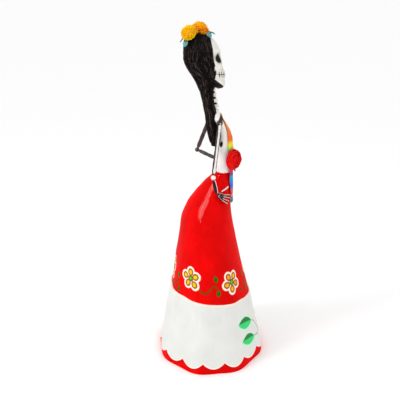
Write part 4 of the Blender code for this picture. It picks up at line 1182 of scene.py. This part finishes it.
def build_arm(side, shoulder, elbow, wrist, fingers):
    near = side == "right"
    outward = -1 if near else 1
    skin = INK if near else (0.042, 0.030, 0.028)
    wrap = arm_paint(f"{side}_arm_wrap", ARM_BROWN if near else skin)
    black = arm_paint(f"{side}_hand_black", INK)
    shoulder, elbow, wrist = Vector(shoulder), Vector(elbow), Vector(wrist)
    down = (elbow - shoulder).normalized()
    length = (elbow - shoulder).length - ELBOW_BEAD_RADIUS - GAP
    line, radii = [], []
    for s in np.linspace(-3.5, length, 60):
        ball = math.sqrt(max(SHOULDER_BALL_RADIUS**2 - s * s, 0.09))
        shaft = tapered(ARM_RADIUS, length - s)
        shaft *= 1 + 0.05 * math.sin(s * 0.55) + 0.03 * math.sin(s * 1.7)
        radii.append(ball if s < 0 else max(ball, shaft))
        line.append(tuple(shoulder + down * float(s)))
    build = Build("round", "along", "stripe")
    striped_tube(build, line, radii, (0.97 * outward, -0.24, 0), 1.2, 0.10, 0.95)
    build.make(f"{side}_upper_wrap", wrap, "arm_paint", [f"{side}_upper_arm"], body=f"{side}_upper")

    paint = Paint(f"{side}_bead_paint" if near else f"{side}_bead_dark", shine=0.4)
    if near:
        tone, least_rough = bone_colour(paint, 4.0), 0.35
    else:
        tone, least_rough = paint.mix(paint.noise(3.0, 3.0), skin, tuple(2 * c for c in skin)), 0.4
    bead_mat = paint.finish(tone, least_rough + 0.2 * paint.noise(1.5), paint.noise(1.8, 4.0), 0.3)
    heights = np.linspace(-0.995, 0.995, 21)
    profile = [(ELBOW_BEAD_RADIUS * math.sqrt(1 - h * h), ELBOW_BEAD_RADIUS * h) for h in heights]
    verts, faces = lathe(profile, 28, Matrix.Translation(elbow), lambda t, h: 1 + 0.03 * math.sin(3 * t + h))
    nodes = [f"{side}_elbow_bead"]
    make_object(f"{side}_elbow_knot", bead_mat, "bone_paint", nodes, verts, faces, body=f"{side}_upper")

    forward = (wrist - elbow).normalized()
    length = (wrist - elbow).length
    line, radii = [], []
    for s in np.linspace(ELBOW_BEAD_RADIUS + GAP, length, 40):
        shaft = tapered(ARM_RADIUS * 0.95, s - ELBOW_BEAD_RADIUS - GAP)
        shaft = min(shaft, ARM_RADIUS * (0.95 - 0.15 * s / length))
        radii.append(shaft * (1 + 0.05 * math.sin(s * 0.6)))
        line.append(tuple(elbow + forward * float(s)))
    build = Build("round", "along", "stripe")
    up = (-0.45, -0.88, 0.1) if near else (0.6, -0.3, -0.7)
    striped_tube(build, line, radii, up, 0.75 if near else 1.4, 0.04, 0.96)
    mat = black if near else wrap
    build.make(f"{side}_forearm_wrap", mat, "arm_paint", [f"{side}_forearm"], body=f"{side}_lower")
    build_hand(side, elbow, wrist, fingers, black)


def build_hand(side, elbow, wrist, fingers, mat):
    """A palm that widens to the knuckles, painted with its long bones, and five bent fingers."""
    knuckles = [wrist + Vector(f[0]) for f in fingers[1:]]
    far = sum(knuckles, Vector()) / len(knuckles)
    toward = (far - wrist).normalized()
    across = knuckles[0] - knuckles[-1]
    across = (across - toward * across.dot(toward)).normalized()
    through = toward.cross(across)
    outward = Vector((-1 if side == "right" else 1, -0.3, 0.3))
    face_out = -through if through.dot(outward) < 0 else through
    slant = math.sin((wrist - elbow).angle(toward))
    start = GAP + ARM_RADIUS * 0.8 * slant
    length = (far - wrist).length - start
    half = max(abs((k - far).dot(across)) for k in knuckles) + FINGER_RADIUS * 1.3
    rows = smooth_line([(0, 1.3, 1.2), (0.3, half * 0.72, 1.7), (0.8, half, 1.6), (1, half * 0.97, 1.1)], 8)
    sides = 36
    verts, stripe = [], []
    for share, wide, thick in rows:
        for k in range(sides):
            t = TAU * k / sides
            offset = across * wide * math.cos(t) + through * thick * math.sin(t)
            verts.append(wrist + toward * (start + length * share) + offset)
            lane = wide * math.cos(t) / (wide * 0.5)
            near_lane = abs(lane + 1.5 - round(min(max(lane + 1.5, 0), 3))) * wide * 0.5
            shown = 0.0 if offset.dot(face_out) > -0.3 else 2.0
            stripe.append(near_lane - 0.22 + shown + max(0.12 - share, 0) * 12)
    form = (verts, capped_faces(len(rows), sides), {"stripe": stripe})
    body = f"{side}_lower"
    make_object(f"{side}_palm_bones", mat, "arm_paint", [f"{side}_palm"], *form, sharp_deg=70, body=body)
    for name, finger in zip(FINGER_NAMES, fingers):
        points = [wrist + Vector(p) for p in finger]
        if name == "thumb":
            points[0] = wrist + toward * (start + length * 0.5) + across * (half + GAP + FINGER_RADIUS)
        else:
            points[0] += toward * ((far - points[0]).dot(toward) + GAP + FINGER_RADIUS * 0.5)
        line = smooth_line([tuple(p) for p in points], 10)
        count = len(line) - 1
        radii = []
        for k in range(count + 1):
            f = k / count
            joints = math.exp(-(((f - 0.5) / 0.07) ** 2)) * 0.16
            tip = min(1.0, 0.45 + 5 * f, 0.35 + 6 * (1 - f))
            radii.append(FINGER_RADIUS * (0.94 + joints) * tip)
        build = Build("round", "along", "stripe")
        striped_tube(build, line, radii, tuple(face_out), 1.0 if name == "thumb" else 0.34, 0.06, 0.95, 14)
        build.make(f"{side}_{name}_bone", mat, "arm_paint", [f"{side}_{name}"], body=body)


# ---- Solids that stay
def finish_frame_nodes():
    paint = Paint("brown_cardboard", shine=0.2)
    fibres = paint.noise(1.2, 4.0, paint.stretched(1.0, 0.25, 1.0))
    colour = paint.mix(fibres, (0.34, 0.215, 0.115), (0.52, 0.36, 0.21))
    card = paint.finish(colour, 0.8 + 0.15 * fibres, fibres, 0.2)
    paint = Paint("drawn_steel", Metallic=1.0)
    drawn = paint.noise(0.9, 3.0, paint.stretched(1.0, 1.0, 0.05))
    colour = paint.mix(drawn, (0.36, 0.35, 0.34), (0.58, 0.57, 0.56))
    steel = paint.finish(colour, 0.28 + 0.2 * drawn, drawn, 0.06)
    for name, mat in (("hip_disc", card), ("spine_wire", steel), ("shoulder_wire", steel)):
        coat_node(name, mat)


# ---- Floor, light and camera
def area_light(name, place, aim, size, size_y, power):
    data = bpy.data.lights.new(name, "AREA")
    data.energy = power
    data.shape = "RECTANGLE"
    data.size, data.size_y = size, size_y
    lamp = bpy.data.objects.new(name, data)
    bpy.context.scene.collection.objects.link(lamp)
    lamp.location = place
    lamp.rotation_mode = "QUATERNION"
    lamp.rotation_quaternion = (Vector(aim) - Vector(place)).to_track_quat("-Z", "Y")
    return lamp


def build_stage():
    paint = Paint("pale_floor", Roughness=0.8, shine=0.1)
    colour = paint.mix(paint.noise(60.0), (0.965, 0.965, 0.965), (0.98, 0.98, 0.98))
    floor_mat = paint.finish(colour)
    mesh = bpy.data.meshes.new("floor")
    reach = 30.0
    corners = [(-reach, -reach, 0), (reach, -reach, 0), (reach, reach, 0), (-reach, reach, 0)]
    mesh.from_pydata(corners, [], [(0, 1, 2, 3)])
    mesh.materials.append(floor_mat)
    floor = bpy.data.objects.new("floor", mesh)
    bpy.context.scene.collection.objects.link(floor)

    scene = bpy.context.scene
    scene.view_settings.view_transform = "Standard"
    world = bpy.data.worlds.new("studio")
    scene.world = world
    world.use_nodes = True
    background = world.node_tree.nodes["Background"]
    background.inputs["Color"].default_value = (1, 1, 1, 1)
    background.inputs["Strength"].default_value = 1.0
    aim = (-0.03, 0.01, 0.19)
    area_light("key_light", (-0.50, 0.78, 1.10), aim, 0.24, 0.40, 3.6)
    softbox = area_light("softbox", (-0.46, 0.74, 1.06), aim, 0.62, 0.55, 22.0)
    softbox.visible_diffuse = False

    camera = bpy.data.cameras.new("camera")
    camera.lens = 76.08
    camera.sensor_width = 36.0
    holder = bpy.data.objects.new("camera", camera)
    scene.collection.objects.link(holder)
    place, aim = Vector((-1.0, 0.013, 0.45)), Vector((0, 0.013, 0.186))
    holder.location = place
    holder.rotation_mode = "QUATERNION"
    holder.rotation_quaternion = (aim - place).to_track_quat("-Z", "Y")
    scene.camera = holder


build_skirt()
build_flounce()
build_torso()
build_neck()
build_skull()
build_hair()
build_blooms()
build_leaves()
build_sash()
build_rose()
build_arm("right", RIGHT_SHOULDER, RIGHT_ELBOW, RIGHT_WRIST, RIGHT_FINGERS)
build_arm("left", LEFT_SHOULDER, LEFT_ELBOW, LEFT_WRIST, LEFT_FINGERS)
finish_frame_nodes()
build_stage()
